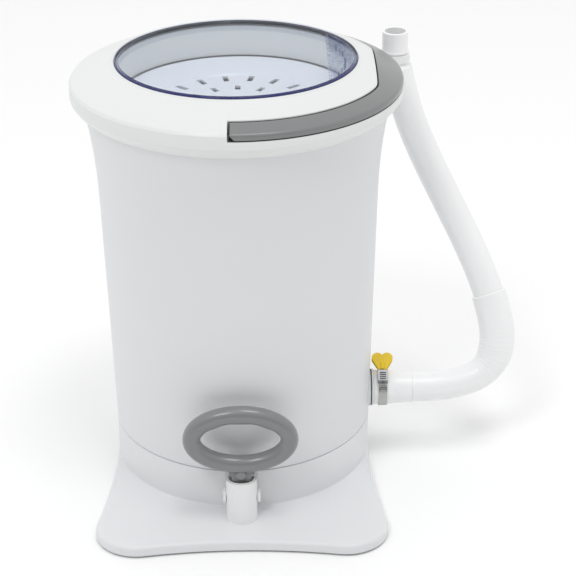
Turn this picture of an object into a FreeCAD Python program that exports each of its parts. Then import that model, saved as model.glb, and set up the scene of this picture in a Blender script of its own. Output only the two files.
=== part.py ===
import FreeCAD, Part

import math
import os
import Sketcher

# A hand-pulled spin washer: a tub on an apron base, a basket spun by a cord and gears below,
# a clear lid, a carry handle folded into the collar and a drain hose at the side.
# +Z is up, the front with its pull grip is -Y, the drain is +X, and the origin is on the spin
# axis at the floor. Every length is in millimetres.

document = FreeCAD.newDocument("spin_washer")
sheet = document.addObject("Spreadsheet::Sheet", "sizes")


class Size:
    """A number that also remembers the spreadsheet formula it comes from."""

    def __init__(self, number, formula):
        self.number = float(number)
        self.formula = formula

    def __add__(self, other):
        other = as_size(other)
        return Size(self.number + other.number, f"({self.formula} + {other.formula})")

    def __sub__(self, other):
        other = as_size(other)
        return Size(self.number - other.number, f"({self.formula} - {other.formula})")

    def __mul__(self, other):
        other = as_size(other)
        return Size(self.number * other.number, f"({self.formula} * {other.formula})")

    def __truediv__(self, other):
        other = as_size(other)
        return Size(self.number / other.number, f"({self.formula} / {other.formula})")

    def __rsub__(self, other):
        return as_size(other) - self

    def __neg__(self):
        return Size(-self.number, f"(0 - {self.formula})")

    __radd__ = __add__
    __rmul__ = __mul__

    def turned(self, degrees):
        """The two coordinates of a point this far out, at an angle from +X."""
        angle = math.radians(degrees)
        return (
            Size(self.number * math.cos(angle), f"({self.formula} * cos({degrees} deg))"),
            Size(self.number * math.sin(angle), f"({self.formula} * sin({degrees} deg))"),
        )


def as_size(value):
    return value if isinstance(value, Size) else Size(value, f"({float(value)})")


def root(value):
    return Size(math.sqrt(value.number), f"sqrt({value.formula})")


cell_count = 0


def size(word, number):
    """Write one driving dimension into the sheet and return it."""
    global cell_count
    cell_count += 1
    sheet.set(f"A{cell_count}", word)
    sheet.set(f"B{cell_count}", str(number))
    sheet.setAlias(f"B{cell_count}", word)
    return Size(number, f"sizes.{word}")


# ---- driving dimensions -------------------------------------------------------------------

# fits and walls
running_gap = size("running_gap", 0.05)        # a shaft turning in its bore
loose_gap = size("loose_gap", 0.4)             # moulded pieces that slip past each other
moving_gap = size("moving_gap", 0.8)           # between a moving piece and its recess
wall = size("wall", 3.0)                       # tub, base and collar walls
thin_wall = size("thin_wall", 2.0)             # basket, spring housing and lid walls
edge_break = size("edge_break", 0.6)           # small bevel on an outside edge

# base
foot_height = size("foot_height", 3.5)
foot_radius = size("foot_radius", 12.0)
skirt_lift = size("skirt_lift", 2.0)           # the base skirt ends this high above the floor
apron_top = size("apron_top", 13.4)            # top of the apron at its edge
apron_root = size("apron_root", 20.0)          # top of the apron where it meets the ring
apron_slope_radius = size("apron_slope_radius", 200.0)
ring_radius = size("ring_radius", 141.5)       # outside of the base ring and the tub's foot
lobe_radius = size("lobe_radius", 45.5)        # the two rounded front corners
lobe_across = size("lobe_across", 110.0)
lobe_front = size("lobe_front", 163.0)
front_edge = size("front_edge", 199.0)         # middle of the front edge
waist_bow = size("waist_bow", 1120.0)          # radius of the hollow sides
cover_plate = size("cover_plate", 2.5)

# tub
seam_height = size("seam_height", 64.0)
flare_bow = size("flare_bow", 400.0)
flare_lean = size("flare_lean", 2.2)           # how far the collar's tongue leans in with the flare
lip_depth = size("lip_depth", 8.0)
hub_radius = size("hub_radius", 18.0)

# collar and lid
rim_height = size("rim_height", 477.0)
throat_depth = size("throat_depth", 39.0)
lid_edge = size("lid_edge", 5.0)
lid_skirt = size("lid_skirt", 10.0)

# carry handle
handle_pivot_across = size("handle_pivot_across", 3.0)
handle_stub = size("handle_stub", 7.0)         # how far the handle runs past its pivot
handle_round = size("handle_round", 5.5)
stub_gap = size("stub_gap", 2.5)                # open gap past the end of each arm
handle_pin_radius = size("handle_pin_radius", 3.0)
boss_half = size("boss_half", 7.5)             # half the width of the block that holds each pin

# basket
basket_floor = size("basket_floor", 84.0)
cover_rise = size("cover_rise", 10.0)
slot_columns = 20
slot_rows = 5

# shaft, bearings and gears
shaft_radius = size("shaft_radius", 6.0)
shaft_bottom = size("shaft_bottom", 10.0)
bearing_width = size("bearing_width", 8.0)
frame_bottom = size("frame_bottom", 16.0)
gear_module = size("gear_module", 1.25)
gear_bottom = size("gear_bottom", 20.5)
gear_width = size("gear_width", 7.0)
axle_radius = size("axle_radius", 5.0)
pinion_teeth = 20
drive_teeth = 60
column_size = size("column_size", 6.0)
screw_radius = size("screw_radius", 2.0)
screw_head_radius = size("screw_head_radius", 4.0)

# cord, reel and guide
cord_radius = size("cord_radius", 1.5)
cord_height = size("cord_height", 35.0)
reel_across = size("reel_across", 30.0)        # reel axle beside the cord's line
groove_width = size("groove_width", 8.0)
reel_flange = size("reel_flange", 1.5)
spring_bottom = size("spring_bottom", 43.0)
ear_radius = size("ear_radius", 5.5)
ear_height = size("ear_height", 5.0)
pulley_radius = size("pulley_radius", 8.0)     # to the middle of the cord
pulley_width = size("pulley_width", 9.0)
guide_width = size("guide_width", 33.0)
guide_top = size("guide_top", 67.0)
guide_wall = size("guide_wall", 2.8)
cap_radius = size("cap_radius", 7.5)
cap_proud = size("cap_proud", 3.3)
axle_pin_radius = size("axle_pin_radius", 3.0)

# pull grip
grip_height = size("grip_height", 117.5)
grip_across = size("grip_across", 121.0)
grip_tall = size("grip_tall", 78.0)
grip_tube = size("grip_tube", 9.5)             # radius of the grip's round section
plug_radius = size("plug_radius", 5.0)
plug_height = size("plug_height", 77.0)
plug_reach = size("plug_reach", 8.5)           # the plug's face in front of the cord
stem_bottom = size("stem_bottom", 60.0)
stem_thick = size("stem_thick", 7.0)

# drain
drain_height = size("drain_height", 86.0)
pipe_radius = size("pipe_radius", 14.0)
pipe_bore = size("pipe_bore", 11.5)
clamp_width = size("clamp_width", 9.5)
band_thick = size("band_thick", 1.2)
worm_radius = size("worm_radius", 2.0)
key_tilt = 32                                  # clamp housing, in degrees from the top to the front
key_start = size("key_start", 15.0)
key_length = size("key_length", 13.6)
key_half_width = size("key_half_width", 10.5)
end_cuff_radius = size("end_cuff_radius", 14.0)
end_cuff_back = size("end_cuff_back", 99.5)
clip_height = size("clip_height", 8.0)

# ---- sizes that follow from them ----------------------------------------------------------

# heights of the tub's top and the collar, down from the rim
tub_top_height = rim_height - 47
flare_height = tub_top_height - 105
collar_edge_height = rim_height - 17.5
band_top = rim_height - 20.5
band_bottom = rim_height - 36
handle_bottom = rim_height - 24.7
handle_pivot_height = rim_height - 17
basket_rim = rim_height - 42

# radii of the tub and the collar, out from the base ring
base_inner = ring_radius - wall
flare_radius = ring_radius + 7.1
tub_top_radius = ring_radius + 18.5
band_radius = ring_radius + 32
collar_edge_radius = band_radius - 2
handle_inner_radius = band_radius - 17.5
grip_chord = handle_inner_radius - 11          # the grip is as wide as this chord leaves
back_foot_radius = ring_radius - 17.5
tub_screw_ring = base_inner - 10.5             # on the lugs inside the base ring
column_radius = ring_radius - 41.5             # ring on which the frame's columns stand
floor_top = seam_height + wall

# basket, inner cover, throat and lid
basket_radius = ring_radius - 16
basket_inner = basket_radius - thin_wall
rim_flange_radius = basket_radius + 4.5
cover_radius = basket_radius - 3
cover_step_radius = cover_radius - 32.5
throat_radius = basket_radius - 1
lid_radius = throat_radius + 1.3
bead_radius = throat_radius + 5
finger_pocket = lid_radius - 30.8              # where the lid's finger pocket starts

# shaft, gears, reel and pulley
bearing_radius = shaft_radius + 8
bore_radius = axle_radius + running_gap
reel_boss_radius = axle_radius + 4
clutch_radius = reel_boss_radius + 4
gear_centres = gear_module * ((pinion_teeth + drive_teeth) / 2)
reel_back = root(gear_centres * gear_centres - reel_across * reel_across)
reel_bottom = cord_height - groove_width / 2 - reel_flange
reel_core = reel_across - cord_radius          # the cord's middle leaves on the line X = 0
reel_flange_radius = reel_core + 5.5
reel_top = cord_height + groove_width / 2 + reel_flange
spring_radius = reel_core + 1.5
frame_top = frame_bottom + wall
cover_bottom = foot_height
pulley_height = cord_height + pulley_radius
pulley_flange_radius = pulley_radius + 3
pulley_front = ring_radius + 13.5
guide_front = ring_radius + 31.5
cord_front = pulley_front + pulley_radius
grip_front = cord_front + 2

# drain, clamp and hose
drain_pad = ring_radius + 2                    # flat face of the tub's drain pad
drain_pad_radius = pipe_radius + 7
hose_bore = pipe_radius + 1
hose_radius = hose_bore + 2.5
cuff_radius = pipe_radius + 5.5
cuff_end = drain_pad + 46.5
clamp_middle = drain_pad + 13.5
housing_radius = cuff_radius + band_thick + worm_radius + 0.2
end_cuff_across = band_radius - 2.5
end_cuff_top = rim_height - 5
end_cuff_bottom = rim_height - 51
clip_bottom = rim_height - 37.5

ALONG = {
    "Z": FreeCAD.Rotation(),
    "X": FreeCAD.Rotation(FreeCAD.Vector(0, 1, 0), 90),
    "Y": FreeCAD.Rotation(FreeCAD.Vector(1, 0, 0), -90),
}


# ---- helpers ------------------------------------------------------------------------------

def bind(piece, **sizes):
    """Tie each named property to its spreadsheet formula."""
    for word, value in sizes.items():
        piece.setExpression(word, as_size(value).formula)


def place(piece, at=(0, 0, 0), rotation=ALONG["Z"]):
    at = [as_size(value) for value in at]
    point = FreeCAD.Vector(*[value.number for value in at])
    piece.Placement = FreeCAD.Placement(point, rotation)
    for word, value in zip("xyz", at):
        piece.setExpression(f"Placement.Base.{word}", value.formula)
    return piece


def rod(name, radius, length, at=(0, 0, 0), along="Z"):
    piece = document.addObject("Part::Cylinder", name)
    bind(piece, Radius=radius, Height=length)
    return place(piece, at, ALONG[along])


def taper(name, low_radius, high_radius, length, at=(0, 0, 0), along="Z"):
    piece = document.addObject("Part::Cone", name)
    bind(piece, Radius1=low_radius, Radius2=high_radius, Height=length)
    return place(piece, at, ALONG[along])


def block(name, lengths, at=(0, 0, 0)):
    piece = document.addObject("Part::Box", name)
    bind(piece, Length=lengths[0], Width=lengths[1], Height=lengths[2])
    return place(piece, at)


def joined(name, *pieces):
    piece = document.addObject("Part::MultiFuse", name)
    piece.Shapes = list(pieces)
    return piece


def shared(name, *pieces):
    piece = document.addObject("Part::MultiCommon", name)
    piece.Shapes = list(pieces)
    return piece


def less(name, base, *tools):
    piece = document.addObject("Part::Cut", name)
    piece.Base = base
    piece.Tool = tools[0] if len(tools) == 1 else joined(f"{name}_cutters", *tools)
    return piece


def group(name, pieces):
    """Identical pieces that stay separate solids in one node."""
    piece = document.addObject("Part::Compound", name)
    piece.Links = list(pieces)
    return piece


def tube(name, radius, bore, length, at=(0, 0, 0), along="Z"):
    outside = rod(f"{name}_outside", radius, length, at, along)
    inside = rod(f"{name}_inside", bore, length, at, along)
    return less(name, outside, inside)


def plane(body, role):
    return next(item for item in body.Origin.OriginFeatures if item.Role == role)


def sketch_in(body, name, role):
    sketch = body.newObject("Sketcher::SketchObject", name)
    sketch.AttachmentSupport = [(plane(body, role), "")]
    sketch.MapMode = "FlatFace"
    return sketch


def hold(sketch, constraint, word, value):
    """Add a constraint and tie it to its formula."""
    sketch.addConstraint(constraint)
    sketch.renameConstraint(sketch.ConstraintCount - 1, word)
    sketch.setExpression(f"Constraints.{word}", value.formula)


def edge_between(start, end, bow):
    """A straight edge, or an arc of radius bow, positive where its middle is left of the chord."""
    first, last = FreeCAD.Vector(*start, 0), FreeCAD.Vector(*end, 0)
    if bow == 0:
        return Part.LineSegment(first, last), 1, 2
    chord = last - first
    left = FreeCAD.Vector(-chord.y, chord.x, 0).normalize()
    side = 1 if bow > 0 else -1
    depth = math.sqrt(bow * bow - chord.Length ** 2 / 4)
    middle = (first + last) * 0.5 + left * side * depth
    spokes = [math.atan2(point.y - middle.y, point.x - middle.x) for point in (first, last)]
    circle = Part.Circle(middle, FreeCAD.Vector(0, 0, 1), abs(bow))
    if side > 0:
        return Part.ArcOfCircle(circle, spokes[0], spokes[1]), 1, 2
    return Part.ArcOfCircle(circle, spokes[1], spokes[0]), 2, 1


def outline(sketch, corners, mark="edge"):
    """A closed outline: (across, up) goes straight on to the next corner, and a third value
    makes that stretch an arc of that radius."""
    first_edge = sketch.GeometryCount
    corners = [[as_size(value) for value in corner] for corner in corners]
    ends = []
    for index, corner in enumerate(corners):
        following = corners[(index + 1) % len(corners)]
        bow = corner[2].number if len(corner) > 2 else 0
        start = (corner[0].number, corner[1].number)
        end = (following[0].number, following[1].number)
        geometry, start_point, end_point = edge_between(start, end, bow)
        sketch.addGeometry(geometry, False)
        ends.append((first_edge + index, start_point, end_point))
    for index, corner in enumerate(corners):
        edge, start_point, end_point = ends[index]
        next_edge, next_start, _ = ends[(index + 1) % len(corners)]
        sketch.addConstraint(Sketcher.Constraint("Coincident", edge, end_point, next_edge, next_start))
        across = Sketcher.Constraint("DistanceX", -1, 1, edge, start_point, corner[0].number)
        hold(sketch, across, f"{mark}_across_{index}", corner[0])
        up = Sketcher.Constraint("DistanceY", -1, 1, edge, start_point, corner[1].number)
        hold(sketch, up, f"{mark}_up_{index}", corner[1])
        if len(corner) > 2:
            bow = corner[2] if corner[2].number > 0 else -corner[2]
            hold(sketch, Sketcher.Constraint("Radius", edge, bow.number), f"{mark}_bow_{index}", bow)


def turned(name, corners, at=(0, 0, 0), about="V_Axis", sweep=360):
    """A body turned about its own Z axis (V_Axis) or X axis (H_Axis)."""
    body = document.addObject("PartDesign::Body", name)
    sketch = sketch_in(body, f"{name}_section", "XZ_Plane")
    outline(sketch, corners)
    turn = body.newObject("PartDesign::Revolution", f"{name}_turn")
    turn.Profile = sketch
    turn.ReferenceAxis = (sketch, [about])
    turn.Angle = sweep
    return place(body, at)


def plate(name, corners, thickness, at=(0, 0, 0), role="XY_Plane", both_ways=False):
    body = document.addObject("PartDesign::Body", name)
    sketch = sketch_in(body, f"{name}_section", role)
    outline(sketch, corners)
    pad = body.newObject("PartDesign::Pad", f"{name}_pad")
    pad.Profile = sketch
    pad.Midplane = both_ways
    bind(pad, Length=thickness)
    return place(body, at)


def slot_ring(body, sketch, count, depth, pocket_name):
    """Pocket a sketch through a turned body and repeat it round the axis."""
    pocket = body.newObject("PartDesign::Pocket", pocket_name)
    pocket.Profile = sketch
    pocket.Type = 0
    bind(pocket, Length=depth)
    pocket.Midplane = sketch.AttachmentSupport[0][0].Role == "XY_Plane"
    ring = body.newObject("PartDesign::PolarPattern", f"{pocket_name}_ring")
    ring.Originals = [pocket]
    axis = "N_Axis" if pocket.Midplane else "V_Axis"
    ring.Axis = (sketch, [axis])
    ring.Angle = 360
    ring.Occurrences = count
    body.Tip = ring


def shape_of(name, shape, at=(0, 0, 0)):
    piece = document.addObject("Part::Feature", name)
    piece.Shape = shape
    return place(piece, at)


def screws(name, spots, head_bottom, head_height, length):
    """Pan-head screws that point up."""
    made = []
    for number, (across, back) in enumerate(spots, 1):
        head = rod(f"{name}_head_{number}", screw_head_radius, head_height, (across, back, head_bottom))
        start = head_bottom + head_height
        shank = rod(f"{name}_shank_{number}", screw_radius, length, (across, back, start))
        made.append(joined(f"{name}_{number}", head, shank))
    return group(name, made)


def spots_round(radius, *angles):
    return [radius.turned(angle) for angle in angles]


# ---- base ---------------------------------------------------------------------------------

cover_screw_spots = [(90, -170), (-90, -170)] + spots_round(ring_radius - 8, 38, 142)
foot_spots = [(lobe_across, -lobe_front), (-lobe_across, -lobe_front)]
foot_spots += spots_round(back_foot_radius, 55, 125)
tub_screw_spots = spots_round(tub_screw_ring, 0, 90, 180, 250)
column_spots = spots_round(column_radius, 45, 135, 225, 315)
housing_spots = [(reel_across + across, back - reel_back)
                 for across, back in spots_round(spring_radius + ear_radius - 1.5, 10, 200, 290)]


def apron_corners(inset):
    """The base seen from above: a round back, hollow sides and two rounded front corners."""
    back = ring_radius - inset
    lobe = lobe_radius - inset
    side_across = lobe_across + lobe * 0.996
    side_front = -(lobe_front - lobe * 0.09)
    lobe_middle = lobe_across - lobe * 0.15
    front = -(lobe_front + lobe * 0.989)
    front_bow = (lobe_middle * lobe_middle) / (2 * (lobe_front + lobe_radius * 0.989 - front_edge))
    return [
        (back, 0, back),
        (0, back, back),
        (-back, 0, -waist_bow),
        (-side_across, side_front, lobe),
        (-lobe_middle, front, -front_bow),
        (lobe_middle, front, lobe),
        (side_across, side_front, -waist_bow),
    ]


def base():
    slab = plate("apron_slab", apron_corners(0), apron_top - skirt_lift, (0, 0, skirt_lift))
    slope_prism = plate("apron_slope", apron_corners(0), apron_root - skirt_lift, (0, 0, skirt_lift))
    slope = taper("apron_cone", apron_slope_radius, ring_radius, apron_root - apron_top, (0, 0, apron_top))
    raised = shared("apron_raised", slope_prism, slope)
    ring = turned("base_ring", [
        (0, skirt_lift),
        (ring_radius, skirt_lift),
        (ring_radius, seam_height - edge_break),
        (ring_radius - edge_break, seam_height),
        (0, seam_height),
    ])
    outside = joined("base_outside", slab, raised, ring)
    hollow = plate("apron_hollow", apron_corners(wall), apron_top - wall - skirt_lift + 1,
                   (0, 0, skirt_lift - 1))
    well = rod("base_well", base_inner, seam_height, (0, 0, skirt_lift - 1))
    shell = less("base_shell", outside, hollow, well)
    posts = []
    for number, (across, back) in enumerate(cover_screw_spots, 1):
        top = apron_top - 1 if number < 3 else cover_bottom + 30
        posts.append(rod(f"cover_post_{number}", 6, top - cover_bottom - cover_plate,
                         (across, back, cover_bottom + cover_plate)))
    for number, angle in enumerate((0, 90, 180, 250), 1):
        lug = block(f"tub_lug_{number}", (base_inner - tub_screw_ring + 9, 16, 4))
        lug_start = tub_screw_ring - 8
        across, back = lug_start.turned(angle)
        side_across, side_back = as_size(8).turned(angle - 90)
        turn = FreeCAD.Rotation(FreeCAD.Vector(0, 0, 1), angle)
        posts.append(place(lug, (across + side_across, back + side_back, apron_root), turn))
    drills = []
    for number, (across, back) in enumerate(cover_screw_spots, 1):
        length = 9 if number < 3 else 12
        drills.append(rod(f"cover_drill_{number}", screw_radius, length,
                          (across, back, cover_bottom)))
    for number, (across, back) in enumerate(tub_screw_spots, 1):
        drills.append(rod(f"tub_drill_{number}", screw_radius, 10, (across, back, apron_root - 3)))
    drills.append(rod("cord_port", cord_radius + 2.5, wall + 8, (0, -ring_radius - 3, cord_height), "Y"))
    body = joined("base_body", shell, *posts)
    return less("base", body, *drills)


def bottom_cover():
    sheet_plate = plate("cover_sheet", apron_corners(wall + loose_gap), cover_plate, (0, 0, cover_bottom))
    drills = [rod(f"cover_hole_{number}", screw_radius, 10, (across, back, 0))
              for number, (across, back) in enumerate(cover_screw_spots, 1)]
    stems = [rod(f"foot_hole_{number}", 4, 10, (across, back, 0))
             for number, (across, back) in enumerate(foot_spots, 1)]
    return less("bottom_cover", sheet_plate, *drills, *stems)


def bottom_cover_screws():
    return screws("bottom_cover_screws", cover_screw_spots, cover_bottom - 2, as_size(2), as_size(7.5))


def rubber_feet():
    feet = []
    for number, (across, back) in enumerate(foot_spots, 1):
        pad = taper(f"foot_pad_{number}", foot_radius - 1, foot_radius, foot_height, (across, back, 0))
        stem = rod(f"foot_stem_{number}", 4, foot_height + cover_plate, (across, back, 0))
        feet.append(joined(f"foot_{number}", pad, stem))
    return group("rubber_feet", feet)


# ---- tub ----------------------------------------------------------------------------------

def tub():
    seal_bottom = floor_top + 1
    shell = turned("tub_shell", [
        (base_inner - loose_gap - wall, seam_height - lip_depth),
        (base_inner - loose_gap, seam_height - lip_depth),
        (base_inner - loose_gap, seam_height),
        (ring_radius - edge_break, seam_height),
        (ring_radius, seam_height + edge_break),
        (flare_radius, flare_height, -flare_bow),
        (tub_top_radius, tub_top_height),
        (tub_top_radius - wall, tub_top_height, flare_bow),
        (flare_radius - wall, flare_height),
        (base_inner, floor_top),
        (hub_radius, floor_top),
        (hub_radius, seal_bottom + 8),
        (shaft_radius * 2, seal_bottom + 8),
        (shaft_radius * 2, seal_bottom),
        (shaft_radius * 1.5, seal_bottom),
        (shaft_radius * 1.5, seam_height - 1),
        (bearing_radius, seam_height - 1),
        (bearing_radius, seam_height - 1 - bearing_width - thin_wall),
        (hub_radius, seam_height - 1 - bearing_width - thin_wall),
        (hub_radius, seam_height),
        (base_inner - loose_gap - wall, seam_height),
    ])
    pad = rod("drain_pad_block", drain_pad_radius, drain_pad - base_inner + 4,
              (base_inner - 4, 0, drain_height), "X")
    height = seam_height - frame_top + 1
    columns = [rod(f"frame_column_{number}", column_size, height, (across, back, frame_top))
               for number, (across, back) in enumerate(column_spots, 1)]
    height = seam_height - apron_root - 3
    bosses = [rod(f"tub_boss_{number}", column_size, height, (across, back, apron_root + 4))
              for number, (across, back) in enumerate(tub_screw_spots, 1)]
    socket = rod("axle_socket", axle_radius + 3, 5, (reel_across, -reel_back, seam_height - 4))
    drills = [rod("drain_bore", pipe_radius, 60, (base_inner - 20, 0, drain_height), "X")]
    drills.append(rod("axle_hole", axle_radius, 4, (reel_across, -reel_back, seam_height - 4)))
    for number, (across, back) in enumerate(column_spots, 1):
        drills.append(rod(f"column_drill_{number}", screw_radius, 14, (across, back, frame_top)))
    for number, (across, back) in enumerate(tub_screw_spots, 1):
        drills.append(rod(f"boss_drill_{number}", screw_radius, 18, (across, back, apron_root + 3)))
    for number, (across, back) in enumerate(housing_spots, 1):
        drills.append(rod(f"housing_drill_{number}", screw_radius, thin_wall, (across, back, seam_height)))
    body = joined("tub_body", shell, pad, socket, *columns, *bosses)
    return less("tub", body, *drills)


def tub_screws():
    return screws("tub_screws", tub_screw_spots, apron_root - 3, as_size(3), as_size(18))


def shaft_seal():
    bottom = floor_top + 1
    bore = shaft_radius + running_gap
    return turned("shaft_seal", [
        (bore + 2.5, bottom),
        (shaft_radius * 2, bottom),
        (shaft_radius * 2, bottom + 7),
        (bore, bottom + 7),
        (bore, bottom + 5.5),
        (bore + 2.5, bottom + 3.5),
    ])


def bearing(name, bottom):
    """A sealed ball bearing, with its two shields sunk a little between the races."""
    bore = shaft_radius + running_gap
    top = bottom + bearing_width
    sink = 0.6
    return turned(name, [
        (bore, bottom),
        (bore + 2, bottom),
        (bore + 2, bottom + sink),
        (bearing_radius - 2.5, bottom + sink),
        (bearing_radius - 2.5, bottom),
        (bearing_radius, bottom),
        (bearing_radius, top),
        (bearing_radius - 2.5, top),
        (bearing_radius - 2.5, top - sink),
        (bore + 2, top - sink),
        (bore + 2, top),
        (bore, top),
    ])


# ---- collar -------------------------------------------------------------------------------

def cone_drop(radius):
    """Height of the collar's sloping top at a radius."""
    slope = (rim_height - collar_edge_height) / (collar_edge_radius - bead_radius)
    return rim_height - (radius - bead_radius) * slope


def recess_cutter(name, gap, end_gap):
    """The carry handle's room: a ring on the outer corner, and the chord that holds the grip."""
    inner = handle_inner_radius - gap
    bottom = handle_bottom - gap
    height = rim_height - handle_bottom + 20
    ring = tube(f"{name}_ring", band_radius + 20, inner, height, (0, 0, bottom))
    half = block(f"{name}_half", (band_radius + 30, band_radius * 2 + 60, height + 2),
                 (handle_pivot_across - handle_stub - end_gap, -band_radius - 30, bottom - 1))
    chord = block(f"{name}_chord", (60, band_radius * 2, height),
                  (grip_chord - gap, -band_radius, bottom))
    return joined(name, shared(f"{name}_arc", ring, half), chord)


def collar_skin(tongue):
    """The collar's outer shape, turned, without its hollow."""
    return turned("collar_skin", [
        (throat_radius, rim_height - throat_depth),
        (throat_radius, rim_height - lid_edge - loose_gap),
        (lid_radius + loose_gap, rim_height - lid_edge - loose_gap),
        (lid_radius + loose_gap, rim_height + 0.3, -1.8),
        (bead_radius, rim_height),
        (collar_edge_radius, collar_edge_height, -4),
        (band_radius, band_top),
        (band_radius, band_bottom, -14),
        (tub_top_radius + 2, tub_top_height + 0.6),
        (tub_top_radius + 1.4, tub_top_height),
        (tongue, tub_top_height),
        (tongue - flare_lean, tub_top_height - 7),
        (tongue - flare_lean - wall, tub_top_height - 7),
        (tongue - flare_lean - wall, tub_top_height - 12),
        (throat_radius + 2.5, tub_top_height - 12),
        (throat_radius + 2.5, rim_height - throat_depth),
    ])


def collar_void(tongue):
    """The hollow under the collar's skin."""
    return turned("collar_void", [
        (throat_radius + 2.5, tub_top_height - 14),
        (throat_radius + 2.5, rim_height - lid_edge - loose_gap - wall),
        (lid_radius + loose_gap + wall, rim_height - lid_edge),
        (bead_radius + 3, rim_height - wall - 1),
        (collar_edge_radius - wall, collar_edge_height - wall),
        (band_radius - wall, band_top - wall),
        (band_radius - wall, band_bottom + 2),
        (tongue - wall, tub_top_height + 3),
        (tongue - flare_lean - wall, tub_top_height - 7),
        (tongue - flare_lean - wall, tub_top_height - 14),
    ])


def pivot_bosses():
    """Two blocks in the hollow that hold the carry handle's pins."""
    bosses = []
    boss_depth = 22
    wall_face = handle_inner_radius - moving_gap
    for word, start in (("front", -wall_face), ("back", wall_face - boss_depth)):
        corner = (handle_pivot_across - boss_half, start, handle_pivot_height - 1 - boss_half * 1.5)
        bosses.append(block(f"pivot_boss_{word}", (boss_half * 2, boss_depth, boss_half * 3), corner))
    inside = rod("boss_limit", handle_inner_radius - moving_gap, 60, (0, 0, tub_top_height))
    crown = turned("boss_crown", [
        (0, tub_top_height),
        (band_radius, tub_top_height),
        (band_radius, band_top),
        (collar_edge_radius, collar_edge_height - 1),
        (bead_radius, rim_height - 1),
        (0, rim_height - 1),
    ])
    return shared("pivot_bosses", joined("boss_pair", *bosses), inside, crown)


def collar():
    """The top ring, with the handle's recess let into its right half."""
    tongue = tub_top_radius - wall - loose_gap / 2
    room = recess_cutter("handle_recess", moving_gap, stub_gap)
    tray = recess_cutter("handle_tray", moving_gap + wall, stub_gap + wall)
    pocket = less("collar_pocket", collar_void(tongue), tray)
    shell = less("collar_shell", collar_skin(tongue), room, pocket)
    drills = [rod(f"pivot_bore_{word}", handle_pin_radius, 26,
                  (handle_pivot_across, start, handle_pivot_height), "Y")
              for word, start in (("front", -handle_inner_radius - 2), ("back", handle_inner_radius - 24))]
    clip_hole = rod("clip_hole", 3, wall + 8, clip_point(band_radius - wall - 4), "X")
    clip_hole.Placement.Rotation = FreeCAD.Rotation(FreeCAD.Vector(0, 0, 1), clip_angle) * ALONG["X"]
    return less("collar", joined("collar_body", shell, pivot_bosses()), *drills, clip_hole)


# ---- carry handle -------------------------------------------------------------------------

def carry_handle():
    """A half ring whose section rounds off the collar's corner, wider along its grip."""
    section = turned("handle_section", [
        (grip_chord - 8, handle_bottom),
        (band_radius - edge_break, handle_bottom),
        (band_radius, handle_bottom + edge_break),
        (band_radius, band_top, 9),
        (collar_edge_radius - 3, cone_drop(collar_edge_radius - 3)),
        (grip_chord - 8, cone_drop(grip_chord - 8)),
    ])
    reach = recess_cutter("handle_reach", as_size(0), 0)
    half = shared("handle_half", section, reach)
    corners = []
    for word, start in (("front", -band_radius - 5), ("back", handle_inner_radius - 30)):
        end = handle_pivot_across - handle_stub
        notch = block(f"handle_notch_{word}", (handle_round, 50, handle_round), (end, start, handle_bottom))
        round_rod = rod(f"handle_round_{word}", handle_round, 50,
                        (end + handle_round, start, handle_bottom + handle_round), "Y")
        corners.append(less(f"handle_corner_{word}", notch, round_rod))
    bores = [rod(f"handle_bore_{word}", handle_pin_radius + running_gap, 12,
                 (handle_pivot_across, start, handle_pivot_height), "Y")
             for word, start in (("front", -handle_inner_radius - 10), ("back", handle_inner_radius - 2))]
    return less("carry_handle", half, *corners, *bores)


def carry_handle_pins():
    """Two shouldered pins pressed in from inside the collar; the handle turns on their ends."""
    pins = []
    for word, sign in (("front", -1), ("back", 1)):
        inner = handle_inner_radius - moving_gap - 22
        head_length = 2.5
        length = 22 + moving_gap + 6
        shank_start = inner if sign > 0 else -inner - length
        head_start = inner - head_length if sign > 0 else -inner
        shank = rod(f"pin_shank_{word}", handle_pin_radius, length,
                    (handle_pivot_across, shank_start, handle_pivot_height), "Y")
        head = rod(f"pin_head_{word}", handle_pin_radius + 2.5, head_length,
                   (handle_pivot_across, head_start, handle_pivot_height), "Y")
        pins.append(joined(f"handle_pin_{word}", shank, head))
    return group("carry_handle_pins", pins)


# ---- lid ----------------------------------------------------------------------------------

lid_rim_inner = throat_radius - moving_gap


def lid():
    """A clear dish with a skirt, and a finger pocket let into its right side."""
    skirt_bottom = rim_height - lid_skirt
    dish = turned("lid_dish", [
        (0, rim_height - 3.4),
        (lid_rim_inner - thin_wall, rim_height - 3.4),
        (lid_rim_inner - thin_wall, skirt_bottom),
        (lid_rim_inner, skirt_bottom),
        (lid_rim_inner, rim_height + 0.2),
        (lid_rim_inner - 3, rim_height + 0.2),
        (lid_rim_inner - 4, rim_height - 1),
        (0, rim_height - 1),
    ])
    disc = rod("pocket_disc", lid_rim_inner - 0.5, lid_skirt, (0, 0, skirt_bottom))
    side = block("pocket_side", (60, 260, lid_skirt), (finger_pocket, -130, skirt_bottom))
    solid_side = shared("pocket_solid", disc, side)
    room_disc = rod("pocket_room_disc", lid_rim_inner - thin_wall - 1, lid_skirt + 4,
                    (0, 0, skirt_bottom + thin_wall))
    room_side = block("pocket_room_side", (60, 240, lid_skirt + 4),
                      (finger_pocket + thin_wall, -120, skirt_bottom + thin_wall))
    return less("lid", joined("lid_body", dish, solid_side), shared("pocket_room", room_disc, room_side))


def lid_rim():
    """The tinted edge ring that the lid rests on."""
    return turned("lid_rim", [
        (lid_rim_inner, rim_height - lid_edge),
        (lid_radius, rim_height - lid_edge),
        (lid_radius, rim_height - 0.8),
        (lid_radius - 0.8, rim_height + 0.2),
        (lid_rim_inner, rim_height + 0.2),
    ])


# ---- basket -------------------------------------------------------------------------------

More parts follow.
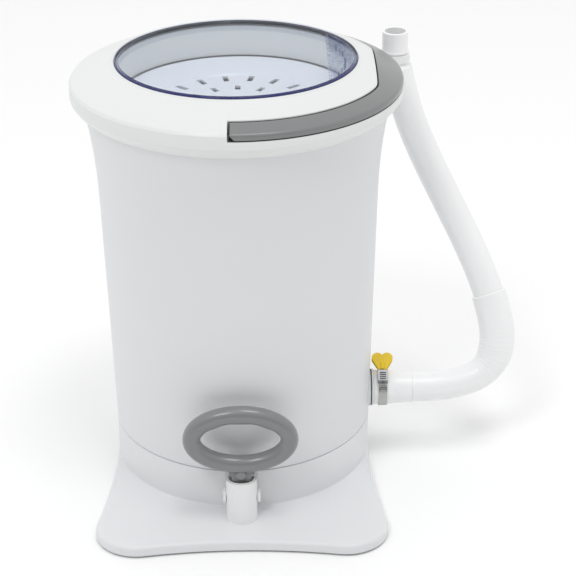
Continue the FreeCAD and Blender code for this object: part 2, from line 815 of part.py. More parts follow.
def basket():
    top_of_floor = basket_floor + wall
    body = turned("basket", [
        (shaft_radius, basket_floor - 6),
        (shaft_radius + 8, basket_floor - 6),
        (shaft_radius + 8, basket_floor),
        (basket_radius - 12, basket_floor, 12),
        (basket_radius, basket_floor + 12),
        (basket_radius, basket_rim - 10),
        (rim_flange_radius, basket_rim - 6),
        (rim_flange_radius, basket_rim),
        (basket_inner, basket_rim),
        (basket_inner, top_of_floor + 12, -12),
        (basket_inner - 12, top_of_floor + 1),
        (shaft_radius + 16, top_of_floor + 1),
        (shaft_radius + 8, top_of_floor + 9),
        (shaft_radius, top_of_floor + 9),
    ])
    sketch = sketch_in(body, "basket_slots", "XZ_Plane")
    slot_wide = 5
    slot_space = (basket_rim - basket_floor - 60) / slot_rows
    for row in range(slot_rows):
        low = basket_floor + 30 + slot_space * row
        high = low + slot_space * 0.6
        outline(sketch, [(-slot_wide / 2, low), (slot_wide / 2, low), (slot_wide / 2, high),
                         (-slot_wide / 2, high)], f"slot_{row}")
    slot_ring(body, sketch, slot_columns, basket_radius + 10, "basket_slot")
    return body


def basket_shaft():
    step = shaft_radius - 1.5
    nut_seat = basket_floor + wall + 9
    return turned("basket_shaft", [
        (0, shaft_bottom),
        (shaft_radius - 0.8, shaft_bottom),
        (shaft_radius, shaft_bottom + 0.8),
        (shaft_radius, nut_seat),
        (step, nut_seat),
        (step, nut_seat + 11),
        (0, nut_seat + 11),
    ])


def basket_nut():
    """A hexagon cap nut that clamps the basket's hub down on the shaft."""
    seat = basket_floor + wall + 9
    flat_reach = 10.0
    corners = [as_size(flat_reach).turned(60 * step) for step in range(6)]
    hexagon = plate("nut_hexagon", corners, 9, (0, 0, seat))
    dome = taper("nut_dome", 8, 4.5, 5, (0, 0, seat + 9))
    bore = rod("nut_bore", shaft_radius - 1.5, 11, (0, 0, seat))
    return less("basket_nut", joined("nut_body", hexagon, dome), bore)


def inner_cover():
    """The dished press plate over the washing, with two rings of slots."""
    top = basket_rim + 2
    flat = top - cover_rise
    body = turned("inner_cover", [
        (0, flat - 2.5),
        (cover_step_radius - 3, flat - 2.5),
        (cover_step_radius - 1, flat - 1),
        (cover_radius - 2.5, top - 3),
        (cover_radius - 2.5, flat - 6),
        (cover_radius, flat - 6),
        (cover_radius, top, 2),
        (cover_radius - 2, top),
        (cover_step_radius, flat + 2),
        (cover_step_radius - 2, flat),
        (0, flat),
    ])
    for word, low, high, wide, count in (("outer", 70, 86, 6, 18), ("inner", 43, 55, 6, 12)):
        sketch = sketch_in(body, f"cover_slot_{word}", "XY_Plane")
        outline(sketch, [(low, -wide / 2), (high, -wide / 2), (high, wide / 2), (low, wide / 2)], word)
        slot_ring(body, sketch, count, top * 2 + 10, f"cover_pocket_{word}")
    return body


# ---- gears --------------------------------------------------------------------------------

def involute(base_radius, radius, flip, offset):
    """A point of the involute of a base circle at a radius, turned by an offset angle."""
    roll = math.sqrt(max(radius * radius / (base_radius * base_radius) - 1, 0))
    angle = flip * (roll - math.atan(roll)) + offset
    return FreeCAD.Vector(radius * math.cos(angle), radius * math.sin(angle), 0)


def gear_shape(module, teeth, width, bore, phase, backlash=0.15):
    """A spur gear with involute flanks; phase turns its first tooth."""
    pitch = module * teeth / 2
    foot, tip = pitch - 1.25 * module, pitch + module
    base_circle = pitch * math.cos(math.radians(20))
    low = max(base_circle, foot)
    half = math.pi / (2 * teeth) - backlash / (2 * pitch) + math.tan(math.radians(20)) - math.radians(20)
    step = 2 * math.pi / teeth
    edges = []
    for tooth in range(teeth):
        middle = phase + step * tooth
        right = [involute(base_circle, radius, 1, middle - half) for radius in (low, pitch, tip)]
        left = [involute(base_circle, radius, -1, middle + half) for radius in (tip, pitch, low)]
        following = involute(base_circle, low, 1, middle + step - half)
        root_right, root_left, next_root = [
            FreeCAD.Vector(point).normalize() * foot for point in (right[0], left[2], following)]
        gap_middle = (root_left + next_root).normalize() * foot
        crown = FreeCAD.Vector(tip * math.cos(middle), tip * math.sin(middle), 0)
        if low > foot:
            edges.append(Part.LineSegment(root_right, right[0]).toShape())
            edges.append(Part.LineSegment(left[2], root_left).toShape())
        edges.append(Part.Arc(*right).toShape())
        edges.append(Part.Arc(right[2], crown, left[0]).toShape())
        edges.append(Part.Arc(*left).toShape())
        edges.append(Part.Arc(root_left, gap_middle, next_root).toShape())
    wire = Part.Wire(Part.__sortEdges__(edges))
    blank = Part.Face(wire).extrude(FreeCAD.Vector(0, 0, width))
    return blank.cut(Part.makeCylinder(bore, width))


def gear_line():
    """Direction from the reel axle to the spin axis."""
    return math.atan2(reel_back.number, -reel_across.number)


def drive_gear():
    shape = gear_shape(gear_module.number, drive_teeth, gear_width.number, clutch_radius.number, gear_line())
    return shape_of("drive_gear", shape, (reel_across, -reel_back, gear_bottom))


def pinion():
    """Half a tooth away from the drive gear's tooth on the line of centres."""
    phase = gear_line() + math.pi + math.pi / pinion_teeth
    width = gear_width.number + 2
    shape = gear_shape(gear_module.number, pinion_teeth, width, shaft_radius.number, phase)
    return shape_of("pinion", shape, (0, 0, gear_bottom - 1))


def one_way_clutch():
    """A roller clutch sleeve between the reel's boss and the drive gear."""
    return tube("one_way_clutch", clutch_radius, reel_boss_radius + running_gap, gear_width,
                (reel_across, -reel_back, gear_bottom))


# ---- reel, spring and frame ---------------------------------------------------------------

def gear_frame():
    """The plate under the gears: it carries the lower bearing and the reel's axle."""
    centre = (0, 0, frame_bottom)
    disc = rod("frame_disc", column_radius + 9, wall, centre)
    windows = []
    for number, angle in enumerate((0, 90, 180), 1):
        across, back = as_size(62).turned(angle)
        windows.append(rod(f"frame_window_{number}", 24, 10, (across, back, frame_bottom - 2)))
    hub_bottom = frame_bottom - 7
    hub = rod("frame_hub", bearing_radius + 3, frame_top - hub_bottom, (0, 0, hub_bottom))
    axle_pad = rod("axle_pad", axle_radius + 5, wall + 4, (reel_across, -reel_back, frame_bottom - 4))
    seat = rod("bearing_seat", bearing_radius, bearing_width, (0, 0, frame_top - bearing_width))
    clear = rod("shaft_clear", shaft_radius + 1.5, 20, (0, 0, hub_bottom - 1))
    axle = rod("frame_axle_hole", axle_radius, wall + 2, (reel_across, -reel_back, frame_bottom - 2))
    holes = [rod(f"frame_hole_{number}", screw_radius, 10, (across, back, frame_bottom - 2))
             for number, (across, back) in enumerate(column_spots, 1)]
    return less("gear_frame", joined("frame_body", disc, hub, axle_pad), seat, clear, axle, *windows, *holes)


def gear_frame_screws():
    return screws("gear_frame_screws", column_spots, frame_bottom - 2.5, as_size(2.5), wall + 12)


def reel_axle():
    foot = (reel_across, -reel_back, frame_bottom - 2)
    return rod("reel_axle", axle_radius, seam_height - frame_bottom + 2, foot)


def reel():
    """The cord reel: a boss below for the clutch, a grooved drum, and a hub up into the spring."""
    boss_bottom = frame_top + 1
    return turned("reel", [
        (bore_radius, boss_bottom),
        (reel_boss_radius, boss_bottom),
        (reel_boss_radius, reel_bottom),
        (reel_flange_radius, reel_bottom),
        (reel_flange_radius, reel_bottom + reel_flange),
        (reel_core, reel_bottom + reel_flange),
        (reel_core, reel_top - reel_flange),
        (reel_flange_radius, reel_top - reel_flange),
        (reel_flange_radius, reel_top),
        (reel_boss_radius, reel_top),
        (reel_boss_radius, seam_height - 6),
        (bore_radius, seam_height - 6),
    ], (reel_across, -reel_back, 0))


def reel_cord():
    """The wound turns, side by side in the reel's groove."""
    turns = 3
    sides = []
    low = cord_height - cord_radius * turns * 0.85
    pitch = cord_radius * 1.7
    for turn in range(turns):
        base_level = low + pitch * turn
        sides.append((reel_core + cord_radius, base_level, cord_radius * 0.95))
    corners = [(reel_core, low)] + sides
    corners += [(reel_core + cord_radius, low + pitch * turns), (reel_core, low + pitch * turns)]
    return turned("reel_cord", corners, (reel_across, -reel_back, 0))


def spring_housing():
    """The recoil spring's cup, hung under the tub floor."""
    floor = thin_wall
    cup = turned("spring_cup", [
        (reel_boss_radius + moving_gap, spring_bottom),
        (spring_radius, spring_bottom),
        (spring_radius, seam_height),
        (spring_radius - thin_wall, seam_height),
        (spring_radius - thin_wall, spring_bottom + floor),
        (reel_boss_radius + moving_gap, spring_bottom + floor),
    ], (reel_across, -reel_back, 0))
    ears, holes = [], []
    for number, (across, back) in enumerate(housing_spots, 1):
        spot = (across, back, seam_height - ear_height)
        ears.append(rod(f"housing_ear_{number}", ear_radius, ear_height, spot))
        holes.append(rod(f"housing_hole_{number}", screw_radius, ear_height, spot))
    return less("spring_housing", joined("housing_body", cup, *ears), *holes)


def spring_housing_screws():
    head_bottom = seam_height - ear_height - 2
    return screws("spring_housing_screws", housing_spots, head_bottom, as_size(2), ear_height + thin_wall)


def recoil_spring():
    """A flat spiral from just off the reel's hub out to the housing's wall."""
    turns, thick = 6, 0.8
    inner = reel_boss_radius.number + 1.2
    outer = spring_radius.number - thin_wall.number - thick - 0.5
    low = spring_bottom.number + thin_wall.number + 0.5
    tall = seam_height.number - low - 7
    steps = turns * 8
    rows = []
    for extra in (0, thick):
        points = []
        for step in range(steps + 1):
            angle = 2 * math.pi * turns * step / steps
            radius = inner + (outer - inner) * step / steps + extra
            points.append(FreeCAD.Vector(radius * math.cos(angle), radius * math.sin(angle), low))
        curve = Part.BSplineCurve()
        curve.interpolate(points)
        rows.append((curve.toShape(), points))
    start_cap = Part.LineSegment(rows[0][1][0], rows[1][1][0]).toShape()
    end_cap = Part.LineSegment(rows[0][1][-1], rows[1][1][-1]).toShape()
    wire = Part.Wire(Part.__sortEdges__([rows[0][0], end_cap, rows[1][0], start_cap]))
    shape = Part.Face(wire).extrude(FreeCAD.Vector(0, 0, tall))
    return shape_of("recoil_spring", shape, (reel_across, -reel_back, 0))


# ---- cord guide, pulley and grip ----------------------------------------------------------

def cord_guide():
    """A deep channel on the base's front: open at the top and rounded at the front."""
    half = guide_width / 2
    start = apron_top - 1
    back = -(ring_radius - 2)
    corner = 5
    outside = plate("guide_outside", [
        (half, back),
        (-half, back),
        (-half, -(guide_front - 6), corner * 2),
        (-half + corner, -(guide_front - 1.5), half * 3.2),
        (half - corner, -(guide_front - 1.5), corner * 2),
        (half, -(guide_front - 6)),
    ], guide_top - start, (0, 0, start))
    inner = half - guide_wall
    inside = plate("guide_inside", [
        (inner, back - 5),
        (-inner, back - 5),
        (-inner, -(guide_front - 6), corner * 1.6),
        (-inner + corner, -(guide_front - 1.5 - guide_wall), inner * 3.2),
        (inner - corner, -(guide_front - 1.5 - guide_wall), corner * 1.6),
        (inner, -(guide_front - 6)),
    ], guide_top, (0, 0, apron_root + 4))
    clear_ring = rod("guide_clear_ring", ring_radius, guide_top, (0, 0, 0))
    clear_tub = rod("guide_clear_tub", ring_radius + loose_gap, guide_top, (0, 0, seam_height))
    mouth = block("guide_mouth", (guide_width - 14, 20, guide_top), (-half + 7, back - 16, apron_root + 4))
    pin_start = (-half - 5, -pulley_front, pulley_height)
    pin = rod("guide_pin_bore", axle_pin_radius, guide_width + 10, pin_start, "X")
    rise = apron_root - apron_top
    apron_cone = taper("guide_apron", apron_slope_radius, ring_radius, rise, (0, 0, apron_top))
    return less("cord_guide", outside, inside, clear_ring, clear_tub, mouth, pin, apron_cone,
                rod("guide_apron_flat", 240, apron_top - start, (0, 0, start)))


def guide_pulley_axle():
    """A pin across the guide, with a round cap outside each wall."""
    half = guide_width / 2
    pin = rod("pulley_pin", axle_pin_radius, guide_width, (-half, -pulley_front, pulley_height), "X")
    caps = []
    for word, start in (("left", -half - cap_proud), ("right", half)):
        cap_place = (start, -pulley_front, pulley_height)
        caps.append(rod(f"pulley_cap_{word}", cap_radius, cap_proud, cap_place, "X"))
    return joined("guide_pulley_axle", pin, *caps)


def guide_pulley():
    half = pulley_width / 2
    core = pulley_radius - cord_radius
    return turned("guide_pulley", [
        (-half - 4, axle_pin_radius + running_gap),
        (half + 4, axle_pin_radius + running_gap),
        (half + 4, axle_pin_radius + 2),
        (half, axle_pin_radius + 2),
        (half, pulley_flange_radius),
        (half - 1.5, pulley_flange_radius),
        (cord_radius + 0.3, core - 0.3),
        (-cord_radius - 0.3, core - 0.3),
        (-half + 1.5, pulley_flange_radius),
        (-half, pulley_flange_radius),
        (-half, axle_pin_radius + 2),
        (-half - 4, axle_pin_radius + 2),
    ], (0, -pulley_front, pulley_height), "H_Axis")


def cord_bush():
    """The flanged bush where the cord passes through the base ring."""
    start = -(ring_radius + 1)
    barrel = rod("bush_barrel", cord_radius + 2.5, wall + 3, (0, start, cord_height), "Y")
    flange = rod("bush_flange", cord_radius + 4.5, 1.5, (0, -base_inner + 0.3, cord_height), "Y")
    bore = rod("bush_bore", cord_radius + 0.5, 20, (0, start - 5, cord_height), "Y")
    return less("cord_bush", joined("bush_body", barrel, flange), bore)


def swept(path, radius):
    """A round rod along a wire of straight runs and arcs."""
    first = path.Edges[0]
    start = first.valueAt(first.FirstParameter)
    ahead = first.tangentAt(first.FirstParameter)
    circle = Part.Wire(Part.Circle(start, ahead, radius).toShape())
    return path.makePipeShell([circle], True, False)


def cord_run():
    """The cord from just off the reel, through the bush, and round under the pulley."""
    front, drop = pulley_front.number, pulley_radius.number
    level = cord_height.number
    off_reel = math.sqrt(reel_across.number * cord_radius.number * 4)
    first = FreeCAD.Vector(0, -reel_back.number - off_reel, level)
    under = FreeCAD.Vector(0, -front, level)
    quarter = drop * math.sqrt(0.5)
    beside = FreeCAD.Vector(0, -front - quarter, level + drop - quarter)
    up = FreeCAD.Vector(0, -front - drop, level + drop)
    path = Part.Wire([Part.LineSegment(first, under).toShape(), Part.Arc(under, beside, up).toShape()])
    return shape_of("cord_run", swept(path, cord_radius.number))


def pull_cord():
    """The stretch that grows as the grip is pulled: from the pulley up to the grip's stem."""
    return rod("pull_cord", cord_radius, stem_bottom - pulley_height, (0, -cord_front, pulley_height))


def pull_handle():
    """An oval grip with a scalloped inner edge on top, and a stem with the cord's pocket."""
    half_across = (grip_across.number - 2 * grip_tube.number) / 2
    half_tall = (grip_tall.number - 2 * grip_tube.number) / 2
    oval = Part.Ellipse(FreeCAD.Vector(0, 0, 0), half_across, half_tall).toShape()
    upright = FreeCAD.Placement(FreeCAD.Vector(0, 0, 0), FreeCAD.Rotation(FreeCAD.Vector(1, 0, 0), 90))
    oval.Placement = upright
    section = Part.Circle(FreeCAD.Vector(half_across, 0, 0), FreeCAD.Vector(0, 0, 1), grip_tube.number)
    ring = Part.Wire([oval]).makePipeShell([Part.Wire(section.toShape())], True, False)
    loop = shape_of("grip_loop", ring, (0, -grip_front, grip_height))
    stem_top = grip_height - grip_tall / 2 + grip_tube
    stem = plate("grip_stem", [
        (-9, stem_bottom),
        (9, stem_bottom),
        (12.5, stem_top),
        (-12.5, stem_top),
    ], stem_thick, (0, -cord_front, 0), "XZ_Plane", True)
    return less("pull_handle", joined("grip_body", loop, stem), plug_rod("plug_socket"))


def plug_rod(name):
    start = (0, -cord_front - plug_reach, plug_height)
    return rod(name, plug_radius, plug_reach - stem_thick / 2, start, "Y")


def cord_plug():
    """The round plug in the stem's front that hides the cord's knot."""
    return plug_rod("cord_plug")


# ---- drain --------------------------------------------------------------------------------

def drain_spigot():
    """A flanged pipe through the tub's drain pad."""
    flange_start = drain_pad + 1.5
    return turned("drain_spigot", [
        (base_inner - 8.5, pipe_bore),
        (cuff_end - 14, pipe_bore),
        (cuff_end - 14, pipe_radius - 1),
        (cuff_end - 16, pipe_radius),
        (flange_start + 2, pipe_radius),
        (flange_start + 2, drain_pad_radius - 0.8),
        (flange_start + 1.4, drain_pad_radius - 0.2),
        (flange_start, drain_pad_radius - 0.2),
        (flange_start, pipe_radius),
        (base_inner - 8.5, pipe_radius),
    ], (0, 0, drain_height), "H_Axis")


def drain_gasket():
    return tube("drain_gasket", drain_pad_radius - 0.6, pipe_radius, 1.5, (drain_pad, 0, drain_height), "X")


def drain_nut():
    corners = [as_size(17.5).turned(60 * step) for step in range(6)]
    nut = plate("drain_nut_hexagon", corners, 4)
    place(nut, (base_inner - 8, 0, drain_height), ALONG["X"])
    bore = rod("drain_nut_bore", pipe_radius, 12, (base_inner - 12, 0, drain_height), "X")
    return less("drain_nut", nut, bore)


def hose_cuff():
    """The hose's soft end, pushed over the spigot up to its flange."""
    start = drain_pad + 3.5
    inner_end = cuff_end - 14
    return turned("hose_cuff", [
        (start, pipe_radius),
        (start, cuff_radius - 0.6),
        (start + 0.6, cuff_radius),
        (clamp_middle + clamp_width / 2 + 2, cuff_radius),
        (clamp_middle + clamp_width / 2 + 10, hose_radius + 0.6),
        (cuff_end, hose_radius),
        (cuff_end, hose_bore),
        (inner_end + 2, hose_bore),
        (inner_end, pipe_radius),
    ], (0, 0, drain_height), "H_Axis")


def clamp_point(along, out):
    """A point on the clamp screw's line, in the clamp's own tilted directions."""
    turn = math.radians(key_tilt)
    across_y = -out * math.sin(turn) + along * math.cos(turn)
    up_z = out * math.cos(turn) + along * math.sin(turn)
    return across_y, up_z


def clamp_rod(name, radius, length, along):
    across_y, up_z = clamp_point(along, housing_radius)
    piece = rod(name, radius, length)
    tilt = FreeCAD.Rotation(FreeCAD.Vector(1, 0, 0), -(90 - key_tilt))
    return place(piece, (clamp_middle, across_y, drain_height + up_z), tilt)


def clamp_band():
    """The steel strip round the cuff, with the worm's slots under the housing."""
    start = clamp_middle - clamp_width / 2
    band_radius_out = cuff_radius + band_thick
    strip = tube("clamp_strip", band_radius_out, cuff_radius, clamp_width, (start, 0, drain_height), "X")
    slots = []
    for number in range(11):
        angle = math.radians(key_tilt - 110 + 8 * number)
        slot = block(f"band_slot_{number}", (clamp_width - 4, 6, 1.0))
        turn = FreeCAD.Rotation(FreeCAD.Vector(1, 0, 0), -math.degrees(angle) + 90)
        across_y = -(cuff_radius - 1) * math.cos(angle)
        up_z = drain_height - (cuff_radius - 1) * math.sin(angle)
        place(slot, (start + 2, across_y, up_z), turn)
        slots.append(slot)
    return less("clamp_band", strip, *slots)


def clamp_housing():
    """The saddle that holds the clamp's worm screw."""
    length, wide = 13, clamp_width + 1.5
    tilt = FreeCAD.Rotation(FreeCAD.Vector(1, 0, 0), -(90 - key_tilt))
    corner_y, corner_z = clamp_point(-length / 2, housing_radius + 5)
    shell = block("housing_block", (wide, 10, length))
    place(shell, (clamp_middle - wide / 2, corner_y, drain_height + corner_z), tilt)
    hoop_start = (clamp_middle - wide / 2 - 1, 0, drain_height)
    hoop = rod("housing_hoop", cuff_radius + band_thick, wide + 2, hoop_start, "X")
    bore = clamp_rod("housing_bore", worm_radius + running_gap, length * 2, as_size(-length))
    return less("clamp_housing", shell, hoop, bore)


def clamp_screw():
    worm = clamp_rod("worm_body", worm_radius, 13.5, as_size(-6.5))
    stub = clamp_rod("worm_stub", worm_radius - 0.3, key_start - 4, as_size(6.5))
    return joined("clamp_screw", worm, stub)


def clamp_wing():
    """A heart-shaped wing: two round lobes and a tapering neck."""
    lobe = key_length * 0.38
    tilt = FreeCAD.Rotation(FreeCAD.Vector(1, 0, 0), -(90 - key_tilt))
    pieces = []
    thick = 5.0
    for word, side in (("left", -1), ("right", 1)):
        centre = side * (key_half_width - lobe)
        along = key_start + key_length - lobe
        across_y, up_z = clamp_point(along, housing_radius + thick / 2)
        disc = rod(f"wing_lobe_{word}", lobe, thick)
        turn = tilt * ALONG["Y"]
        pieces.append(place(disc, (clamp_middle + centre, across_y, drain_height + up_z), turn))
    web = plate("wing_web", [
        (-4, key_start - 5),
        (4, key_start - 5),
        (key_half_width - lobe * 0.25, key_start + key_length - lobe * 1.75),
        (key_half_width - lobe, key_start + key_length),
        (0, key_start + key_length - 2.5),
        (-(key_half_width - lobe), key_start + key_length),
        (-(key_half_width - lobe * 0.25), key_start + key_length - lobe * 1.75),
    ], thick, (0, 0, 0), "XZ_Plane", True)
    across_y, up_z = clamp_point(as_size(0), housing_radius)
    pieces.append(place(web, (clamp_middle, across_y, drain_height + up_z), tilt))
    return pieces


def clamp_key():
    """The two-lobed key moulded round the screw's head."""
    hub = clamp_rod("key_hub", 3.8, 8.5, key_start - 6.5)
    return less("clamp_key", joined("key_body", hub, *clamp_wing()),
                clamp_rod("key_socket", worm_radius - 0.3, 9.5, key_start - 6.5))


# The hose's route, chosen point by point: out of the cuff, round a tight elbow, and up behind
# the right side of the collar. The first list is measured from the cuff's mouth and the second
# from the foot of the end cuff.
HOSE_START = [
    (0, 0, 0),
    (26, 0, 0),
    (53.5, 1, 4.5),
    (77, 3, 12.5),
    (92, 8, 28),
    (97.5, 15, 51),
    (94.5, 24, 75.5),
    (85, 37, 107),
    (66, 54, 150),
    (40, 73, 199),
    (13.5, 90, 250),
]
HOSE_END = [(11, -1, -37), (2, 0, 5)]
mouth = (cuff_end.number, 0, drain_height.number)
end_foot = (end_cuff_across.number, end_cuff_back.number, end_cuff_bottom.number)
HOSE_ROUTE = [tuple(start + step for start, step in zip(mouth, steps)) for steps in HOSE_START]
HOSE_ROUTE += [tuple(start + step for start, step in zip(end_foot, steps)) for steps in HOSE_END]


def rounded_route(points):
    """Straight runs joined by tangent arcs, each as large as its two runs allow."""
    spots = [FreeCAD.Vector(*point) for point in points]
    edges, radii, reach = [], [], spots[0]
    for before, corner, after in zip(spots, spots[1:], spots[2:]):
        arriving, leaving = (corner - before).normalize(), (after - corner).normalize()
        turn = arriving.getAngle(leaving)
        cut = 0.45 * min((corner - before).Length, (after - corner).Length)
        radii.append(cut / math.tan(turn / 2))
        start, end = corner - arriving * cut, corner + leaving * cut
        inward = (leaving - arriving).normalize()
        sagitta = radii[-1] * (1 / math.cos(turn / 2) - 1)
        edges.append(Part.LineSegment(reach, start).toShape())
        edges.append(Part.Arc(start, corner + inward * sagitta, end).toShape())
        reach = end
    edges.append(Part.LineSegment(reach, spots[-1]).toShape())
    return Part.Wire(edges), radii


def drain_hose():
    path, radii = rounded_route(HOSE_ROUTE)
    outer = swept(path, hose_radius.number)
    inner = swept(path, hose_bore.number)
    shape = outer.cut(inner)
    section = math.pi * (hose_radius.number ** 2 - hose_bore.number ** 2)
    print("hose arc radii:", [round(radius) for radius in radii])
    print("hose length", round(path.Length, 1), "volume over section x length",
          round(shape.Volume / (section * path.Length), 4))
    return shape_of("drain_hose", shape)


def hose_coupling():
    """The step where the hose's lower length is pushed over its upper one."""
    low, high = [FreeCAD.Vector(*HOSE_ROUTE[index]) for index in (6, 7)]
    along = (high - low).normalize()
    middle = (low + high) * 0.5
    outer = Part.makeCylinder(hose_radius.number + 1.4, 12, middle - along * 6, along)
    inner = Part.makeCylinder(hose_radius.number + 0.2, 12, middle - along * 6, along)
    return shape_of("hose_coupling", outer.cut(inner))


def hose_end_cuff():
    """The rigid end of the hose, standing beside the collar with its mouth up."""
    sleeve = end_cuff_radius + 4.2
    stop_bead = clip_bottom + clip_height + 1.5
    return turned("hose_end_cuff", [
        (end_cuff_radius - 2.5, end_cuff_bottom + 8),
        (end_cuff_radius - 2.5, end_cuff_bottom),
        (sleeve, end_cuff_bottom),
        (sleeve, end_cuff_bottom + 6),
        (end_cuff_radius, end_cuff_bottom + 11),
        (end_cuff_radius, stop_bead),
        (end_cuff_radius + 1.2, stop_bead),
        (end_cuff_radius + 1.2, stop_bead + 2),
        (end_cuff_radius, stop_bead + 2),
        (end_cuff_radius, end_cuff_top - edge_break),
        (end_cuff_radius - edge_break, end_cuff_top),
        (end_cuff_radius - 2.5, end_cuff_top),
    ], (end_cuff_across, end_cuff_back, 0))


clip_angle = math.degrees(math.atan2(end_cuff_back.number, end_cuff_across.number))


def clip_point(radius):
    across, back = radius.turned(clip_angle)
    return across, back, clip_bottom + clip_height / 2


def hose_clip():
    """A snap clip on the collar's band that holds the hose's end upright."""
    spot = (end_cuff_across, end_cuff_back, clip_bottom)
    jaw = tube("clip_jaw", end_cuff_radius + 2.6, end_cuff_radius, clip_height, spot)
    turn = FreeCAD.Rotation(FreeCAD.Vector(0, 0, 1), clip_angle)
    mouth = block("clip_mouth", (30, end_cuff_radius * 1.5, clip_height + 2))
    mouth_across, mouth_back = (end_cuff_radius * 0.75).turned(clip_angle - 90)
    lead, lead_back = (end_cuff_radius * 0.6).turned(clip_angle)
    place(mouth, (end_cuff_across + mouth_across + lead, end_cuff_back + mouth_back + lead_back,
                  clip_bottom - 1), turn)
    hoop = less("clip_hoop", jaw, mouth)
    reach = root(end_cuff_across * end_cuff_across + end_cuff_back * end_cuff_back) - end_cuff_radius
    arm = block("clip_arm", (reach - band_radius + 3, 12, clip_height))
    arm_across, arm_back = (band_radius - 2).turned(clip_angle)
    side_across, side_back = as_size(6).turned(clip_angle - 90)
    place(arm, (arm_across + side_across, arm_back + side_back, clip_bottom), turn)
    band = rod("clip_band_cut", band_radius, clip_height + 2, (0, 0, clip_bottom - 1))
    cut_foot = (end_cuff_across, end_cuff_back, clip_bottom - 1)
    bore = rod("clip_cuff_cut", end_cuff_radius, clip_height + 2, cut_foot)
    stud = rod("clip_stud", 3, wall + 6, clip_point(band_radius - wall - 3), "X")
    stud.Placement.Rotation = turn * ALONG["X"]
    return joined("hose_clip", hoop, less("clip_bracket", arm, band, bore), stud)


# ---- build, check and write ---------------------------------------------------------------

BUILDERS = [
    base, bottom_cover, bottom_cover_screws, rubber_feet,
    tub, tub_screws, shaft_seal,
    lambda: bearing("upper_bearing", seam_height - 1 - bearing_width),
    lambda: bearing("lower_bearing", frame_top - bearing_width),
    collar, carry_handle, carry_handle_pins, lid, lid_rim,
    basket, basket_shaft, basket_nut, inner_cover,
    drive_gear, pinion, one_way_clutch,
    gear_frame, gear_frame_screws, reel_axle, reel, reel_cord,
    spring_housing, spring_housing_screws, recoil_spring,
    cord_guide, guide_pulley_axle, guide_pulley, cord_bush, cord_run, pull_cord, pull_handle, cord_plug,
    drain_spigot, drain_gasket, drain_nut, hose_cuff, clamp_band, clamp_housing, clamp_screw, clamp_key,
    drain_hose, hose_coupling, hose_end_cuff, hose_clip,
]

nodes = [build() for build in BUILDERS]
document.recompute()

faults = [f"{item.Name}: {item.State}" for item in document.Objects
          if "Invalid" in item.State or "Error" in item.State]
faults += [f"{node.Label}: null or invalid shape" for node in nodes
           if node.Shape.isNull() or not node.Shape.isValid() or not node.Shape.Solids]
if faults:
    raise SystemExit("\n".join(faults))

os.makedirs("parts", exist_ok=True)
for node in nodes:
    node.Shape.exportStep(f"parts/{node.Label}.step")
print(len(nodes), "nodes written")
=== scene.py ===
# %% [markdown]
# # A hand-pull spin washer, finished in Blender
#
# The washer is a white tub on a one-piece foot. Pulling the grey ring at the front draws a cord
# off a reel, gears spin a slotted basket inside the tub, and the water leaves through the hose.
# The engineering model already gives every part its place and size. This lesson gives each part
# its finish, and remakes the parts whose softened edges or curves the plain model leaves out.

# %% Load the frame
import math

import bmesh
import bpy
from mathutils import Matrix, Vector


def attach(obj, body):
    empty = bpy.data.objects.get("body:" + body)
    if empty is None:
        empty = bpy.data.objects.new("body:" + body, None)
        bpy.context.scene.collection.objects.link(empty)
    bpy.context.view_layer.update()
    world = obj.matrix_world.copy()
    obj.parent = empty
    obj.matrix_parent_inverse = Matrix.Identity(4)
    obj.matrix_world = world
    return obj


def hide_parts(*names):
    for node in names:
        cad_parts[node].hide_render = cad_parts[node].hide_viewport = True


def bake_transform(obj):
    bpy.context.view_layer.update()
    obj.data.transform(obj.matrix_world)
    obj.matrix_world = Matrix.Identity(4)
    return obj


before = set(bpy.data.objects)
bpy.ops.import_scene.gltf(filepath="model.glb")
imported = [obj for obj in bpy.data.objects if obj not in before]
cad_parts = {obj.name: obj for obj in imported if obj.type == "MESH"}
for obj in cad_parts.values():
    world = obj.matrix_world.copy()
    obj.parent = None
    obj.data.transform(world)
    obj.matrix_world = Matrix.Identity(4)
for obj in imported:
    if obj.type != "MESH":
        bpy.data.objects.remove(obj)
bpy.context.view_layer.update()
MM = 0.001


def added(name, data):
    """New data as an object in the scene."""
    made = bpy.data.objects.new(name, data)
    bpy.context.scene.collection.objects.link(made)
    return made


# %% [markdown]
# ## The camera
#
# The washer is seen from the front, a little above its lid, through a long lens that keeps
# upright edges nearly parallel. A camera looks along its own -Z, so its matrix is built from
# three directions: right, up and back.

# %% Place the camera
CAMERA_PLACE = Vector((40.5, -1784.0, 1084.2)) * MM
CAMERA_PITCH, CAMERA_YAW, CAMERA_ROLL = 0.455, 0.0063, -0.008
CAMERA_LENS = 113.0


def place_camera():
    ahead = Vector((math.sin(CAMERA_YAW) * math.cos(CAMERA_PITCH),
                    math.cos(CAMERA_YAW) * math.cos(CAMERA_PITCH), -math.sin(CAMERA_PITCH)))
    level = Vector((math.cos(CAMERA_YAW), -math.sin(CAMERA_YAW), 0))
    upward = level.cross(ahead)
    right = level * math.cos(CAMERA_ROLL) + upward * math.sin(CAMERA_ROLL)
    up = upward * math.cos(CAMERA_ROLL) - level * math.sin(CAMERA_ROLL)
    camera = added("camera", bpy.data.cameras.new("camera"))
    camera.data.lens = CAMERA_LENS
    turn = Matrix((right, up, -ahead)).transposed().to_4x4()
    camera.matrix_world = Matrix.Translation(CAMERA_PLACE) @ turn
    bpy.context.scene.camera = camera


place_camera()

# %% [markdown]
# ## Maths on sockets
#
# A node tree is a drawing of sums and products. Wrapping a socket in a small class lets Python's
# own operators draw those nodes, so a pattern reads like a formula. Every other node comes from
# one method: its settings are set first, and then its sockets get values or links.


